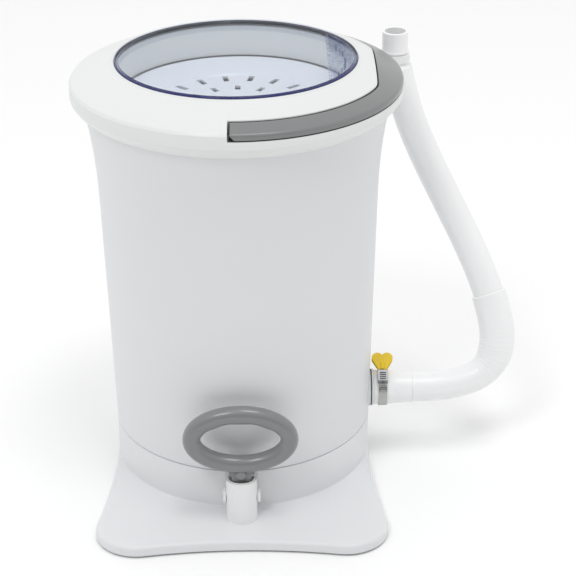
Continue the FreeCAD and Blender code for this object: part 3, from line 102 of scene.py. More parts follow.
# %% A socket that understands + - * /
def feed(tree, socket, value):
    """Give a socket a link or a plain value."""
    if isinstance(value, Reading):
        tree.links.new(value.socket, socket)
    elif isinstance(value, bpy.types.NodeSocket):
        tree.links.new(value, socket)
    else:
        socket.default_value = value


class Reading:
    """The number that a socket gives, ready for Python's operators."""

    def __init__(self, tree, socket):
        self.tree = tree
        self.socket = socket

    def maths(self, operation, *values):
        node = self.tree.nodes.new("ShaderNodeMath")
        node.operation = operation
        for socket, value in zip(node.inputs, values):
            feed(self.tree, socket, value)
        return Reading(self.tree, node.outputs[0])

    def __add__(self, other):
        return self.maths("ADD", self, other)

    def __sub__(self, other):
        return self.maths("SUBTRACT", self, other)

    def __rsub__(self, other):
        return self.maths("SUBTRACT", other, self)

    def __mul__(self, other):
        return self.maths("MULTIPLY", self, other)

    def __truediv__(self, other):
        return self.maths("DIVIDE", self, other)

    def sine(self):
        return self.maths("SINE", self)

    def cosine(self):
        return self.maths("COSINE", self)

    __radd__ = __add__
    __rmul__ = __mul__


class Drawing:
    """A node tree, and the one method that adds a node to it."""

    def __init__(self, tree):
        self.tree = tree

    def node(self, kind, settings=None, inputs=None):
        node = self.tree.nodes.new(kind)
        for word, setting in (settings or {}).items():
            setattr(node, word, setting)
        for word, value in (inputs or {}).items():
            feed(self.tree, node.inputs[word], value)
        return node

    def reading(self, node, output=0):
        return Reading(self.tree, node.outputs[output])

    def ramp(self, value, start, end, shape="SMOOTHSTEP"):
        """A share that rises from 0 to 1 between two values."""
        return self.reading(self.node("ShaderNodeMapRange", {"interpolation_type": shape}, {
            "Value": value, "From Min": start, "From Max": end}))


# %% [markdown]
# ## Finishes
#
# Nearly everything here is injection-moulded plastic. Up close such plastic is never one flat
# colour: the melt leaves faint broad patches, and the mould's spark-eroded wall leaves a very
# fine grain that spreads the highlights. Each finish is made from that recipe with its own
# colour, gloss and grain.


# %% The recipe of a finish
class Finish(Drawing):
    """A material on object coordinates, with a Principled shader at its end."""

    def __init__(self, name):
        self.material = bpy.data.materials.new(name)
        self.material.use_nodes = True
        super().__init__(self.material.node_tree)
        self.shader = self.tree.nodes["Principled BSDF"]
        self.place = self.node("ShaderNodeTexCoord").outputs["Object"]

    def patches(self, size, detail=2.0, stretch=(1, 1, 1)):
        """Noise whose patches are about this many metres across."""
        scaled = self.node("ShaderNodeMapping", inputs={"Vector": self.place, "Scale": stretch})
        noise = self.node("ShaderNodeTexNoise", inputs={
            "Vector": scaled.outputs[0], "Scale": 1 / size, "Detail": detail})
        return self.reading(noise)

    def between(self, share, low, high):
        """A colour between two colours."""
        mix = self.node("ShaderNodeMix", {"data_type": "RGBA"}, {0: share})
        feed(self.tree, mix.inputs[6], (*low, 1))
        feed(self.tree, mix.inputs[7], (*high, 1))
        return mix.outputs[2]

    def relief(self, height, depth):
        """Small bumps, up to a depth in metres, on the surface."""
        bump = self.node("ShaderNodeBump", inputs={"Height": height, "Strength": 1.0, "Distance": depth})
        feed(self.tree, self.shader.inputs["Normal"], bump.outputs[0])

    def set(self, **values):
        for word, value in values.items():
            feed(self.tree, self.shader.inputs[word.replace("_", " ")], value)


def tinted(colour, by):
    return tuple(min(1.0, channel * by) for channel in colour)


GRAIN = 0.0006      # metres across one grain of a mould's wall


def moulded(name, colour, roughness, patch=0.05, unevenness=0.03, grain_depth=0.00001, coat=0.0):
    """Injection-moulded plastic."""
    finish = Finish(name)
    broad = finish.patches(patch, detail=3)
    fine = finish.patches(GRAIN, detail=1)
    finish.set(
        Base_Color=finish.between(broad, tinted(colour, 1 - unevenness), tinted(colour, 1 + unevenness)),
        Roughness=roughness + (broad - 0.5) * 0.1 + (fine - 0.5) * 0.06)
    if coat:
        finish.shader.inputs["Coat Weight"].default_value = coat
        finish.shader.inputs["Coat Roughness"].default_value = 0.12
    finish.relief(fine, grain_depth)
    return finish.material


def metal(name, colour, roughness, stretch):
    """Steel with fine marks drawn out along one direction."""
    finish = Finish(name)
    marks = finish.patches(0.0006, detail=4, stretch=stretch)
    broad = finish.patches(0.012, detail=2)
    finish.set(
        Base_Color=finish.between(broad, tinted(colour, 0.88), tinted(colour, 1.08)),
        Roughness=roughness + (marks - 0.5) * 0.3,
        Metallic=1.0)
    finish.relief(marks, 0.000015)
    return finish.material


def twisted(name, colour):
    """Cord fibre: short threads along each strand."""
    finish = Finish(name)
    threads = finish.patches(0.0004, detail=3, stretch=(3, 3, 0.5))
    finish.set(
        Base_Color=finish.between(threads, tinted(colour, 0.7), tinted(colour, 1.3)),
        Roughness=0.75 + (threads - 0.5) * 0.2)
    finish.relief(threads, 0.00008)
    return finish.material


# %% [markdown]
# The clear lid needs more care. Real glass in Blender bends light and throws dark shadows on
# whatever it covers, while a thin moulded lid lets nearly all light straight through. So the
# lid mixes a see-through shader with a glossy one. How much it shines follows Schlick's rule:
# four percent seen straight on, and rising with the fifth power of the slant. Layer Weight gives
# the same slant on both sides of the thin wall, which Fresnel's own node doesn't.
# Where the plastic is thick, at the finger pocket and round the rim's edge, a tinted plastic
# shader is mixed in on top. The rim's tint sits on its outer wall, so it is found from how far
# the surface faces away from the lid's axis.


# %% Clear plastic
class Clear(Finish):
    """See-through plastic with a gloss, and a tinted body where a share says so."""

    def __init__(self, name, tint, body_colour, gloss):
        super().__init__(name)
        swirl = self.patches(0.02, detail=2)
        self.set(Base_Color=self.between(swirl, tinted(body_colour, 0.85), tinted(body_colour, 1.15)),
                 Roughness=0.06 + swirl * 0.06)
        facing = self.reading(self.node("ShaderNodeLayerWeight", inputs={"Blend": 0.5}), "Facing")
        slant = 0.04 + facing.maths("POWER", facing, 5.0) * 0.96
        through = self.node("ShaderNodeBsdfTransparent", inputs={"Color": (*tint, 1)})
        shine = self.node("ShaderNodeBsdfAnisotropic", inputs={"Color": (1, 1, 1, 1), "Roughness": 0.06})
        self.pane = self.blended(slant * gloss, through, shine)
        self.whole = self.blended(0.0, self.pane, self.shader)
        feed(self.tree, self.tree.nodes["Material Output"].inputs["Surface"], self.whole.outputs[0])

    def blended(self, share, first, second):
        mix = self.node("ShaderNodeMixShader", inputs={0: share})
        feed(self.tree, mix.inputs[1], first.outputs[0])
        feed(self.tree, mix.inputs[2], second.outputs[0])
        return mix

    def body_where(self, share):
        feed(self.tree, self.whole.inputs[0], share)
        return self.material

    def outward(self):
        """How far the surface faces away from the upright axis, from -1 to 1."""
        level = self.node("ShaderNodeVectorMath", {"operation": "MULTIPLY"}, {
            0: self.place, 1: (1.0, 1.0, 0.0)})
        spoke = self.node("ShaderNodeVectorMath", {"operation": "NORMALIZE"}, {0: level.outputs[0]})
        facing = self.node("ShaderNodeTexCoord").outputs["Normal"]
        dot = self.node("ShaderNodeVectorMath", {"operation": "DOT_PRODUCT"}, {
            0: spoke.outputs[0], 1: facing})
        return self.reading(dot, "Value")


def clear_lid():
    lid = Clear("clear_lid", (0.95, 0.96, 0.975), (0.10, 0.14, 0.36), 0.5)
    across = lid.reading(lid.node("ShaderNodeSeparateXYZ", inputs={"Vector": lid.place}), "X")
    ripple = lid.ramp(lid.patches(0.007, detail=2), 0.35, 0.7)
    pocket = lid.ramp(across, POCKET_START - 0.001, POCKET_START)
    return lid.body_where(pocket * (0.05 + ripple * 0.3))


def navy_rim():
    rim = Clear("navy_rim", (0.97, 0.98, 1.0), (0.020, 0.024, 0.15), 0.2)
    return rim.body_where(rim.ramp(rim.outward(), -0.05, 0.45) * 0.94)


# %% [markdown]
# Each slot of the engineering model gets one finish. The whites differ a little in colour and
# gloss, so that neighbouring mouldings can be told apart.

# %% Every finish of the washer, by the name of its slot
POCKET_START = 0.095
FINISHES = {
    "body_white": moulded("body_white", (0.735, 0.745, 0.76), 0.42, patch=0.12, unevenness=0.012),
    "collar_white": moulded("collar_white", (0.765, 0.785, 0.775), 0.34, patch=0.1, unevenness=0.012),
    "cover_grey": moulded("cover_grey", (0.42, 0.43, 0.44), 0.6, unevenness=0.05, grain_depth=0.00003),
    "steel": metal("steel", (0.36, 0.36, 0.37), 0.42, (1, 1, 0.1)),
    "band_steel": metal("band_steel", (0.47, 0.47, 0.46), 0.34, (1, 0.08, 0.08)),
    "bearing_steel": metal("bearing_steel", (0.58, 0.58, 0.59), 0.25, (0.1, 0.1, 1)),
    "rubber": moulded("rubber", (0.09, 0.09, 0.094), 0.75, patch=0.02, unevenness=0.15, grain_depth=0.00004),
    "grey_handle": moulded("grey_handle", (0.20, 0.205, 0.207), 0.33, patch=0.04, unevenness=0.03, coat=0.35),
    "grey_grip": moulded("grey_grip", (0.20, 0.207, 0.21), 0.3, patch=0.04, unevenness=0.03, coat=0.5),
    "guide_white": moulded("guide_white", (0.82, 0.83, 0.83), 0.3, patch=0.03, unevenness=0.012, coat=0.3),
    "clear_lid": clear_lid(),
    "navy_rim": navy_rim(),
    "basket_white": moulded("basket_white", (0.80, 0.83, 0.88), 0.3, patch=0.06, unevenness=0.02),
    "nylon": moulded("nylon", (0.74, 0.72, 0.66), 0.5, patch=0.02, unevenness=0.05, grain_depth=0.00002),
    "cord": twisted("cord", (0.22, 0.22, 0.23)),
    "drain_white": moulded("drain_white", (0.82, 0.83, 0.84), 0.4, patch=0.03, unevenness=0.015),
    "hose_white": moulded("hose_white", (0.90, 0.905, 0.91), 0.38, patch=0.04, unevenness=0.015, coat=0.2),
    "key_yellow": moulded("key_yellow", (0.80, 0.56, 0.004), 0.42, patch=0.01, unevenness=0.06),
}
for cad_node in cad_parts.values():
    slot_name = cad_node.data.materials[0].name.split(".")[0]
    cad_node.data.materials.clear()
    cad_node.data.materials.append(FINISHES[slot_name])
print(len(FINISHES), "finishes on", len(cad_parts), "nodes")

# %% [markdown]
# ## Turning sections into pieces
#
# A moulding's shape is easiest to write down as a section: a list of corners, each with the
# radius that softens it. A corner's arc is drawn as a rational Bezier curve, which gives a true
# circle from just the corner and its two tangent points.


# %% Sections with softened corners
def softened(corners, steps=4):
    """The points of an outline whose corners are (across, up) or (across, up, radius)."""
    points, count = [], len(corners)
    for index, corner in enumerate(corners):
        here = Vector(corner[:2])
        radius = corner[2] if len(corner) > 2 else 0
        if radius == 0:
            points.append(here)
            continue
        before = Vector(corners[index - 1][:2])
        after = Vector(corners[(index + 1) % count][:2])
        arriving, leaving = (here - before).normalized(), (after - here).normalized()
        half_turn = arriving.angle(leaving) / 2
        reach = min(radius * math.tan(half_turn), 0.49 * min((here - before).length, (after - here).length))
        start, end, weight = here - arriving * reach, here + leaving * reach, math.cos(half_turn)
        for step in range(steps + 1):
            t = step / steps
            shares = ((1 - t) ** 2, 2 * t * (1 - t) * weight, t * t)
            points.append((start * shares[0] + here * shares[1] + end * shares[2]) / sum(shares))
    return points


MERGE = 1e-7      # metres within which two points are one


def face_outwards(mesh, merged=False):
    """Turn a closed mesh's faces outwards."""
    work = bmesh.new()
    work.from_mesh(mesh)
    if merged:
        bmesh.ops.remove_doubles(work, verts=work.verts, dist=MERGE)
    if work.calc_volume(signed=True) < 0:
        bmesh.ops.reverse_faces(work, faces=work.faces)
    work.to_mesh(mesh)
    work.free()


def shell(name, points, faces):
    """A mesh object from points in millimetres, with its faces turned outwards."""
    mesh = bpy.data.meshes.new(name)
    mesh.from_pydata([Vector(point) * MM for point in points], [], faces)
    face_outwards(mesh, merged=True)
    return added(name, mesh)


def woven(name, columns, round_about=True):
    """A shell woven through columns, each of them a closed ring of points."""
    rows, count = len(columns[0]), len(columns)
    faces = []
    for column in range(count if round_about else count - 1):
        start, following = column * rows, (column + 1) % count * rows
        for row in range(rows):
            above = (row + 1) % rows
            faces.append((start + row, following + row, following + above, start + above))
    if not round_about:
        faces.append(tuple(range(rows)))
        faces.append(tuple(reversed(range((count - 1) * rows, count * rows))))
    return shell(name, [point for column in columns for point in column], faces)


def prism(name, outline, low, high):
    """An outline, (across, back), raised between two heights."""
    count = len(outline)
    points = [(x, y, z) for z in (low, high) for x, y in outline]
    faces = [(i, (i + 1) % count, (i + 1) % count + count, i + count) for i in range(count)]
    faces += [tuple(range(count)), tuple(reversed(range(count, 2 * count)))]
    return shell(name, points, faces)


def joined(name, *pieces):
    """Several shells as one piece."""
    points, faces = [], []
    for piece in pieces:
        start = len(points)
        points += [vertex.co / MM for vertex in piece.data.vertices]
        faces += [tuple(start + corner for corner in face.vertices) for face in piece.data.polygons]
        bpy.data.objects.remove(piece)
    mesh = bpy.data.meshes.new(name)
    mesh.from_pydata([point * MM for point in points], [], faces)
    return added(name, mesh)


SHARP_EDGE = math.radians(38)


def settle(piece, body, slot_name, replaced=(), bevel=0.0):
    """Smooth a finished piece, give it its finish and tie it to its body."""
    if bevel:
        soft = piece.modifiers.new("soft_edges", "BEVEL")
        soft.width, soft.segments = bevel * MM, 3
        soft.limit_method, soft.angle_limit = "ANGLE", SHARP_EDGE
    piece.data.materials.clear()
    piece.data.materials.append(FINISHES[slot_name])
    piece.data.polygons.foreach_set("material_index", [0] * len(piece.data.polygons))
    piece.data.shade_smooth()
    piece.data.set_sharp_from_angle(angle=SHARP_EDGE)
    if body:
        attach(piece, body)
    if replaced:
        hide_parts(*replaced)
    print(piece.name, len(piece.data.polygons), "faces")
    return piece


# %% [markdown]
# ## Recipes that grow geometry
#
# Geometry Nodes suit shapes that follow a rule. Four recipes are enough here: a section turned
# about an axis, copies set round an axis, a hose along its route, and a laid rope along a path.
# Each is a node tree with named inputs. Its result is turned into a plain mesh straight away.


# %% A tree with named inputs
SOCKETS = {"float": "NodeSocketFloat", "int": "NodeSocketInt",
           "geometry": "NodeSocketGeometry", "material": "NodeSocketMaterial"}


class Recipe(Drawing):
    """A Geometry Nodes tree that ends in Realize Instances and Set Material."""

    def __init__(self, name, **inputs):
        super().__init__(bpy.data.node_groups.new(name, "GeometryNodeTree"))
        self.keys = {}
        for word, kind in {"Start": "geometry", **inputs, "finish": "material"}.items():
            made = self.tree.interface.new_socket(name=word, in_out="INPUT", socket_type=SOCKETS[kind])
            self.keys[word] = made.identifier
        self.tree.interface.new_socket(name="Result", in_out="OUTPUT", socket_type=SOCKETS["geometry"])
        self.entry = self.node("NodeGroupInput")

    def given(self, word):
        return self.reading(self.entry, word)

    def vector(self, x=0.0, y=0.0, z=0.0):
        return self.node("ShaderNodeCombineXYZ", inputs={"X": x, "Y": y, "Z": z}).outputs[0]

    def close(self, geometry):
        merged = self.node("GeometryNodeMergeByDistance", inputs={"Geometry": geometry, "Distance": MERGE})
        real = self.node("GeometryNodeRealizeInstances", inputs={"Geometry": merged.outputs[0]})
        coloured = self.node("GeometryNodeSetMaterial", inputs={
            "Geometry": real.outputs[0], "Material": self.given("finish")})
        self.node("NodeGroupOutput", inputs={"Result": coloured.outputs[0]})

    def grow(self, name, start, slot_name, **values):
        """Run the recipe on a start mesh and return the result as a plain mesh object."""
        modifier = start.modifiers.new("recipe", "NODES")
        modifier.node_group = self.tree
        for word, value in values.items():
            modifier[self.keys[word]] = value
        modifier[self.keys["finish"]] = FINISHES[slot_name]
        evaluated = start.evaluated_get(bpy.context.evaluated_depsgraph_get())
        mesh = bpy.data.meshes.new_from_object(evaluated)
        start.modifiers.remove(modifier)
        bpy.data.objects.remove(start)
        mesh.name = name
        return added(name, mesh)


def thread(name, points, closed=False):
    """A bare line of points in millimetres, for a recipe to start from."""
    count = len(points)
    edges = [(i, (i + 1) % count) for i in range(count if closed else count - 1)]
    mesh = bpy.data.meshes.new(name)
    mesh.from_pydata([Vector(point) * MM for point in points], edges, [])
    return added(name, mesh)


# %% [markdown]
# A section is turned by carrying it round a circle. Its points are measured from that circle, so
# one circle serves every section.

# %% Recipe: a section turned about an axis
WHEEL = 100.0      # radius in mm of the circle that a section is carried round


def turning_recipe():
    recipe = Recipe("turned_section", steps="int", wheel="float")
    section = recipe.node("GeometryNodeMeshToCurve", inputs={"Mesh": recipe.entry.outputs["Start"]})
    circle = recipe.node("GeometryNodeCurvePrimitiveCircle", inputs={
        "Resolution": recipe.given("steps"), "Radius": recipe.given("wheel")})
    upright = recipe.node("GeometryNodeSetCurveNormal", {"mode": "Z_UP"}, {"Curve": circle.outputs[0]})
    turned_mesh = recipe.node("GeometryNodeCurveToMesh", inputs={
        "Curve": upright.outputs[0], "Profile Curve": section.outputs[0]})
    recipe.close(turned_mesh.outputs[0])
    return recipe


TURNING = turning_recipe()
ALONG_X = Matrix.Rotation(math.radians(90), 4, "Y")


def turned(name, corners, slot_name, steps=144, at=(0, 0, 0), along=None):
    """A closed section of (radius, height) corners turned about Z, or about another direction."""
    points = [(point.x - WHEEL, -point.y, 0) for point in softened(corners)]
    piece = TURNING.grow(name, thread(name + "_section", points, closed=True), slot_name,
                         steps=steps, wheel=WHEEL * MM)
    place = Matrix.Translation(Vector(at) * MM)
    piece.data.transform(place @ along if along else place)
    face_outwards(piece.data)
    return piece


# %% [markdown]
# Copies round an axis all start as points on it. The piece already stands off the axis, so
# turning each point is enough.

# %% Recipe: copies set round an axis
def round_recipe():
    recipe = Recipe("copies_round", count="int", first="float", step="float")
    spots = recipe.node("GeometryNodeMeshLine", inputs={
        "Count": recipe.given("count"), "Offset": (0.0, 0.0, 0.0)})
    index = recipe.reading(recipe.node("GeometryNodeInputIndex"))
    angle = recipe.given("first") + index * recipe.given("step")
    turn = recipe.node("FunctionNodeEulerToRotation", inputs={"Euler": recipe.vector(z=angle)})
    copies = recipe.node("GeometryNodeInstanceOnPoints", inputs={
        "Points": spots.outputs[0], "Instance": recipe.entry.outputs["Start"], "Rotation": turn.outputs[0]})
    real = recipe.node("GeometryNodeRealizeInstances", inputs={"Geometry": copies.outputs[0]})
    recipe.close(real.outputs[0])
    return recipe


ROUND = round_recipe()


def copies_round(name, piece, slot_name, count, first, step):
    """Copies of a piece that stands off the Z axis, turned by equal steps in degrees."""
    return ROUND.grow(name, piece, slot_name, count=count,
                      first=math.radians(first), step=math.radians(step))


# %% [markdown]
# ## The drain hose
#
# The hose is one length of soft white pipe. It leaves the clamp level, turns up in a tight
# elbow, and climbs behind the collar to a clip that keeps its mouth above the water. Its route
# is a NURBS curve through the same points as the engineering model, and a recipe sweeps the
# pipe along it. Near the elbow the wall is drawn into shallow rings, so that it can bend there
# without kinking. Solidify then gives the pipe its wall.

# %% The hose's route
HOSE_ROUTE = [
    (190.0, 0.0, 86.0), (216.0, 0.0, 86.0), (243.5, 1.0, 90.5), (267.0, 3.0, 98.5), (282.0, 8.0, 114.0),
    (287.5, 15.0, 137.0), (284.5, 24.0, 161.5), (275.0, 37.0, 193.0), (256.0, 54.0, 236.0),
    (230.0, 73.0, 285.0), (203.5, 90.0, 336.0), (182.0, 98.5, 389.0), (173.0, 99.5, 431.0),
]
CAD_RADIUS, HOSE_RADIUS, HOSE_WALL = 17.5, 17.0, 2.5
ELBOW_RADIUS, ELBOW_END = 19.6, 178.0
ROUTE_STEPS = 10      # points sampled between two points of the route


def sampled_route(points):
    """The points of a NURBS curve through a route, in millimetres."""
    curve = bpy.data.curves.new("route", "CURVE")
    curve.dimensions = "3D"
    curve.resolution_u = ROUTE_STEPS
    spline = curve.splines.new("NURBS")
    spline.points.add(len(points) - 1)
    for spot, point in zip(spline.points, points):
        spot.co = (*(Vector(point) * MM), 1)
    spline.order_u = 3
    spline.use_endpoint_u = True
    line = added("route", curve)
    mesh = bpy.data.meshes.new_from_object(line.evaluated_get(bpy.context.evaluated_depsgraph_get()))
    found = [vertex.co / MM for vertex in mesh.vertices]
    bpy.data.objects.remove(line)
    return found


hose_line = sampled_route(HOSE_ROUTE)


# %% [markdown]
# Rings and elbow are both changes of the pipe's radius along its length. They fade in, and only
# the elbow's end is a step, as where a wide pipe is pushed over a narrower one.

# %% Recipe: a ringed hose
RING_FADE = 0.03      # metres over which the rings come and go


def hose_recipe():
    recipe = Recipe("ringed_hose", radius="float", step="float", ring_pitch="float", ring_height="float",
                    ring_start="float", ring_end="float", elbow_radius="float", elbow_start="float",
                    elbow_full="float", elbow_end="float")
    route = recipe.node("GeometryNodeMeshToCurve", inputs={"Mesh": recipe.entry.outputs["Start"]})
    even = recipe.node("GeometryNodeResampleCurve", {"mode": "LENGTH"}, {
        "Curve": route.outputs[0], "Length": recipe.given("step")})
    along = recipe.reading(recipe.node("GeometryNodeSplineParameter"), "Length")
    start, end = recipe.given("ring_start"), recipe.given("ring_end")
    rising = recipe.ramp(along, start, start + RING_FADE, "LINEAR")
    falling = recipe.ramp(along, end - RING_FADE, end, "LINEAR")
    wave = (along * (2 * math.pi) / recipe.given("ring_pitch")).cosine()
    rings = wave * rising * (1 - falling) * recipe.given("ring_height")
    widening = recipe.ramp(along, recipe.given("elbow_start"), recipe.given("elbow_full"))
    inside_elbow = along.maths("LESS_THAN", along, recipe.given("elbow_end"))
    extra = widening * inside_elbow * (recipe.given("elbow_radius") - recipe.given("radius"))
    swell = 1 + (rings + extra) / recipe.given("radius")
    ring = recipe.node("GeometryNodeCurvePrimitiveCircle", inputs={
        "Resolution": 48, "Radius": recipe.given("radius")})
    pipe = recipe.node("GeometryNodeCurveToMesh", inputs={
        "Curve": even.outputs[0], "Profile Curve": ring.outputs[0], "Scale": swell})
    recipe.close(pipe.outputs[0])
    return recipe


# %% [markdown]
# The pipe grows along its route and gets its wall. It leaves the clamp and ends in its cuff.

# %% Grow the hose and hang it up
def make_hose():
    hose = hose_recipe().grow(
        "hose", thread("hose_line", hose_line), "hose_white", radius=HOSE_RADIUS * MM, step=0.0011,
        ring_pitch=0.0052, ring_height=0.00012, ring_start=0.06, ring_end=0.15,
        elbow_radius=ELBOW_RADIUS * MM, elbow_start=0.075, elbow_full=0.12, elbow_end=ELBOW_END * MM)
    wall = hose.modifiers.new("wall", "SOLIDIFY")
    wall.thickness, wall.offset = HOSE_WALL * MM, -1
    settle(hose, "housing", "hose_white", ["drain_hose", "hose_coupling"])


make_hose()

# %% [markdown]
# ## The foot
#
# The foot is a ring that carries the tub, with an apron that spreads to the front so a shoe can
# hold the washer down. Its outline is a chain of arcs. At every point of the outline a column
# of points runs up the softened edge, in along the gentle slope, up the ring, and back inside
# the hollow, and the columns are woven into one closed shell.

# %% The foot's outline
RING, SEAM, WALL, SKIRT_LIFT = 141.5, 64.0, 3.0, 2.0
APRON_TOP, APRON_ROOT, SLOPE_END = 13.4, 20.0, 200.0
LOBE, LOBE_X, LOBE_Y, FRONT, SIDE_BOW = 45.5, 110.0, 163.0, 199.0, 1120


def arc_points(start, end, bow, steps):
    """Points along an arc of radius bow; its middle is left of the chord if bow is positive."""
    start, end = Vector(start), Vector(end)
    chord = end - start
    left = Vector((-chord.y, chord.x)).normalized()
    depth = math.sqrt(bow * bow - chord.length_squared / 4)
    middle = (start + end) / 2 + left * math.copysign(depth, bow)
    spoke = start - middle
    sweep = math.copysign(2 * math.asin(chord.length / 2 / abs(bow)), bow)
    return [middle + Matrix.Rotation(sweep * step / steps, 2) @ spoke for step in range(steps)]


def foot_outline():
    side_x, side_y = LOBE_X + LOBE * 0.996, -(LOBE_Y - LOBE * 0.09)
    lobe_x, front = LOBE_X - LOBE * 0.15, -(LOBE_Y + LOBE * 0.989)
    front_bow = lobe_x * lobe_x / (2 * (-front - FRONT))
    back, left_ring, right_ring = (0, RING), (-RING, 0), (RING, 0)
    left_side, right_side = (-side_x, side_y), (side_x, side_y)
    left_front, right_front = (-lobe_x, front), (lobe_x, front)
    stretches = [(right_ring, back, RING, 24), (back, left_ring, RING, 24),
                 (left_ring, left_side, -SIDE_BOW, 20), (left_side, left_front, LOBE, 22),
                 (left_front, right_front, -front_bow, 30), (right_front, right_side, LOBE, 22),
                 (right_side, right_ring, -SIDE_BOW, 20)]
    return [point for stretch in stretches for point in arc_points(*stretch)]


def inward(outline, index):
    """Direction into an outline that runs anticlockwise."""
    along = outline[(index + 1) % len(outline)] - outline[index - 1]
    return Vector((-along.y, along.x)).normalized()


# %% [markdown]
# The apron's edge is rounded over, and its slope meets the ring in a small fillet. Both fade out
# at the back, where the apron and the ring are one wall, so every column has as many points.

# %% Weave the foot
EDGE_SOFT, FILLET = 4.0, 1.6


def eased(share):
    share = min(max(share, 0), 1)
    return share * share * (3 - 2 * share)


def slope_height(radius):
    """The apron is flat outside and rises as a shallow cone to the ring."""
    rise = (APRON_ROOT - APRON_TOP) * (SLOPE_END - radius) / (SLOPE_END - RING)
    return APRON_TOP + max(0.0, rise)


def foot_columns():
    outline = foot_outline()
    columns = []
    for index, edge in enumerate(outline):
        into, out = inward(outline, index), edge.normalized()
        share = eased((edge.length - RING) / 9)
        soft, fillet = EDGE_SOFT * share, FILLET * (0.3 + 0.7 * share)
        column = [(edge + into * 0.8 * share, SKIRT_LIFT), (edge, SKIRT_LIFT + 0.8)]
        for step in range(6):
            turn = math.pi / 2 * step / 5
            drop = EDGE_SOFT * (1 - math.sin(turn))
            column.append((edge + into * soft * (1 - math.cos(turn)), APRON_TOP - drop))
        start, finish = column[-1][0], out * (RING + fillet * share)
        for step in range(1, 9):
            place = start.lerp(finish, step / 8)
            flat = APRON_TOP + (APRON_ROOT - APRON_TOP) * step / 8
            column.append((place, slope_height(place.length) * share + flat * (1 - share)))
        foot_of_ring = column[-1][1]
        for step in range(1, 7):
            turn = math.pi / 2 * step / 6
            radius = RING + fillet * share * (1 - math.sin(turn))
            column.append((out * radius, foot_of_ring + fillet * (1 - math.cos(turn))))
        column += [(out * RING, SEAM - 1.2), (out * (RING - 0.25), SEAM - 0.7),
                   (out * (RING - 0.8), SEAM - 0.4), (out * (RING - WALL), SEAM - 0.4),
                   (out * (RING - WALL), APRON_ROOT + 2),
                   (out * (RING - WALL), APRON_ROOT - WALL)]
        under_edge = edge + into * WALL
        for step in range(1, 5):
            place = (out * (RING - WALL)).lerp(under_edge, step / 4)
            column.append((place, APRON_ROOT - WALL + (APRON_TOP - APRON_ROOT) * step / 4))
        column.append((under_edge, SKIRT_LIFT))
        columns.append([(place.x, place.y, height) for place, height in column])
    return columns


settle(woven("foot", foot_columns()), "housing", "body_white", ["base"])

# %% [markdown]
# ## The tub
#
# The tub is a turned shape: upright walls that flare out in a long curve below the collar. One
# closed section describes both skins, the floor, and the seats for the bearing and the seal, and
# the turning recipe carries it round. The round pad for the drain is a second shell in the same
# piece. Screw bosses and frame columns under the floor are copies set round the axis.

# %% Turn the tub
TUB_TOP, FLARE_Z, FLARE_R, TUB_TOP_R = 430.0, 325.0, 148.6, 160.0
FLARE_POWER = 2.4
BOSS_RING, LAST_BOSS = 128, math.radians(250)


def tub_side(inset):
    """The wall leans out evenly, and then curves out faster and faster below the collar."""
    lean = (FLARE_R - RING) / (FLARE_Z - SEAM)
    rest = TUB_TOP_R - FLARE_R - lean * (TUB_TOP - FLARE_Z)
    points = []
    for step in range(33):
        height = SEAM + 4 + (TUB_TOP - SEAM - 4) * step / 32
        share = max(0.0, (height - FLARE_Z) / (TUB_TOP - FLARE_Z))
        points.append((RING + lean * (height - SEAM) + rest * share ** FLARE_POWER - inset, height))
    return points


def post(name, low, across, back=0):
    """A hollow post that reaches up to the tub's floor."""
    return turned(name, [(2, low), (6, low), (6, SEAM + 1), (2, SEAM + 1)], "body_white",
                  steps=24, at=(across, back, 0))


def make_tub():
    lip = RING - WALL - 0.4
    section = [(lip - WALL, SEAM - 8), (lip, SEAM - 8), (lip, SEAM + 0.4), (RING - 1.0, SEAM + 0.4),
               (RING - 0.3, SEAM + 0.7), (RING, SEAM + 1.4)]
    section += tub_side(0) + list(reversed(tub_side(WALL)))
    section += [(RING - WALL, SEAM + WALL + 6), (RING - WALL - 1.8, SEAM + WALL + 1.8),
                (RING - WALL - 6, SEAM + WALL), (18, SEAM + WALL), (18, SEAM + 12), (12, SEAM + 12),
                (12, SEAM + 4), (9, SEAM + 4), (9, SEAM - 1), (14, SEAM - 1), (14, SEAM - 11),
                (18, SEAM - 11), (18, SEAM), (lip - WALL, SEAM)]
    tub = turned("tub_wall", section, "body_white", steps=180)
    pad = turned("tub_pad", [(0, 138), (21, 138), (21, 143.5, 0.8), (0, 143.5)], "body_white",
                 at=(0, 0, 86), along=ALONG_X, steps=96)
    columns = copies_round("columns", post("column", 19, 100), "body_white", 4, 45, 90)
    bosses = copies_round("bosses", post("boss", 24, BOSS_RING), "body_white", 3, 0, 90)
    last = post("last_boss", 24, BOSS_RING * math.cos(LAST_BOSS), BOSS_RING * math.sin(LAST_BOSS))
    settle(joined("tub_shell", tub, pad, columns, bosses, last), "housing", "body_white", ["tub"])


make_tub()

# %% [markdown]
# ## The collar and the carry handle
#
# The collar slopes down from the lid and turns over into a short band. The carry handle lies in
# a recess along its right half: a long quarter-round arm whose middle is wide enough for a hand.
# Both follow the same inner line, so the recess and the handle share one function. A column of
# the collar is either the full section or the recessed one. Both kinds have the same number
# of points, and where they change, two columns in one upright plane make the recess's end wall.

# %% Shared line of the recess
RIM, THROAT, BEAD, EDGE_R, EDGE_Z, BAND = 477.0, 124.5, 129.5, 171.5, 459.5, 173.5
BAND_TOP, BAND_LOW = 456.5, 441.0
PIVOT_X, STUB, STUB_GAP, GAP = 3.0, 7.0, 2.5, 1.3
ARM_INNER, ARM_MIDDLE, CHORD, HANDLE_LOW = 156.0, 165.0, 145.0, 452.3
EASING = 2.2      # millimetres over which the arm turns into the chord


def cone(radius):
    """Height of the collar's top at a radius."""
    return RIM - (radius - BEAD) * (RIM - EDGE_Z) / (EDGE_R - BEAD)


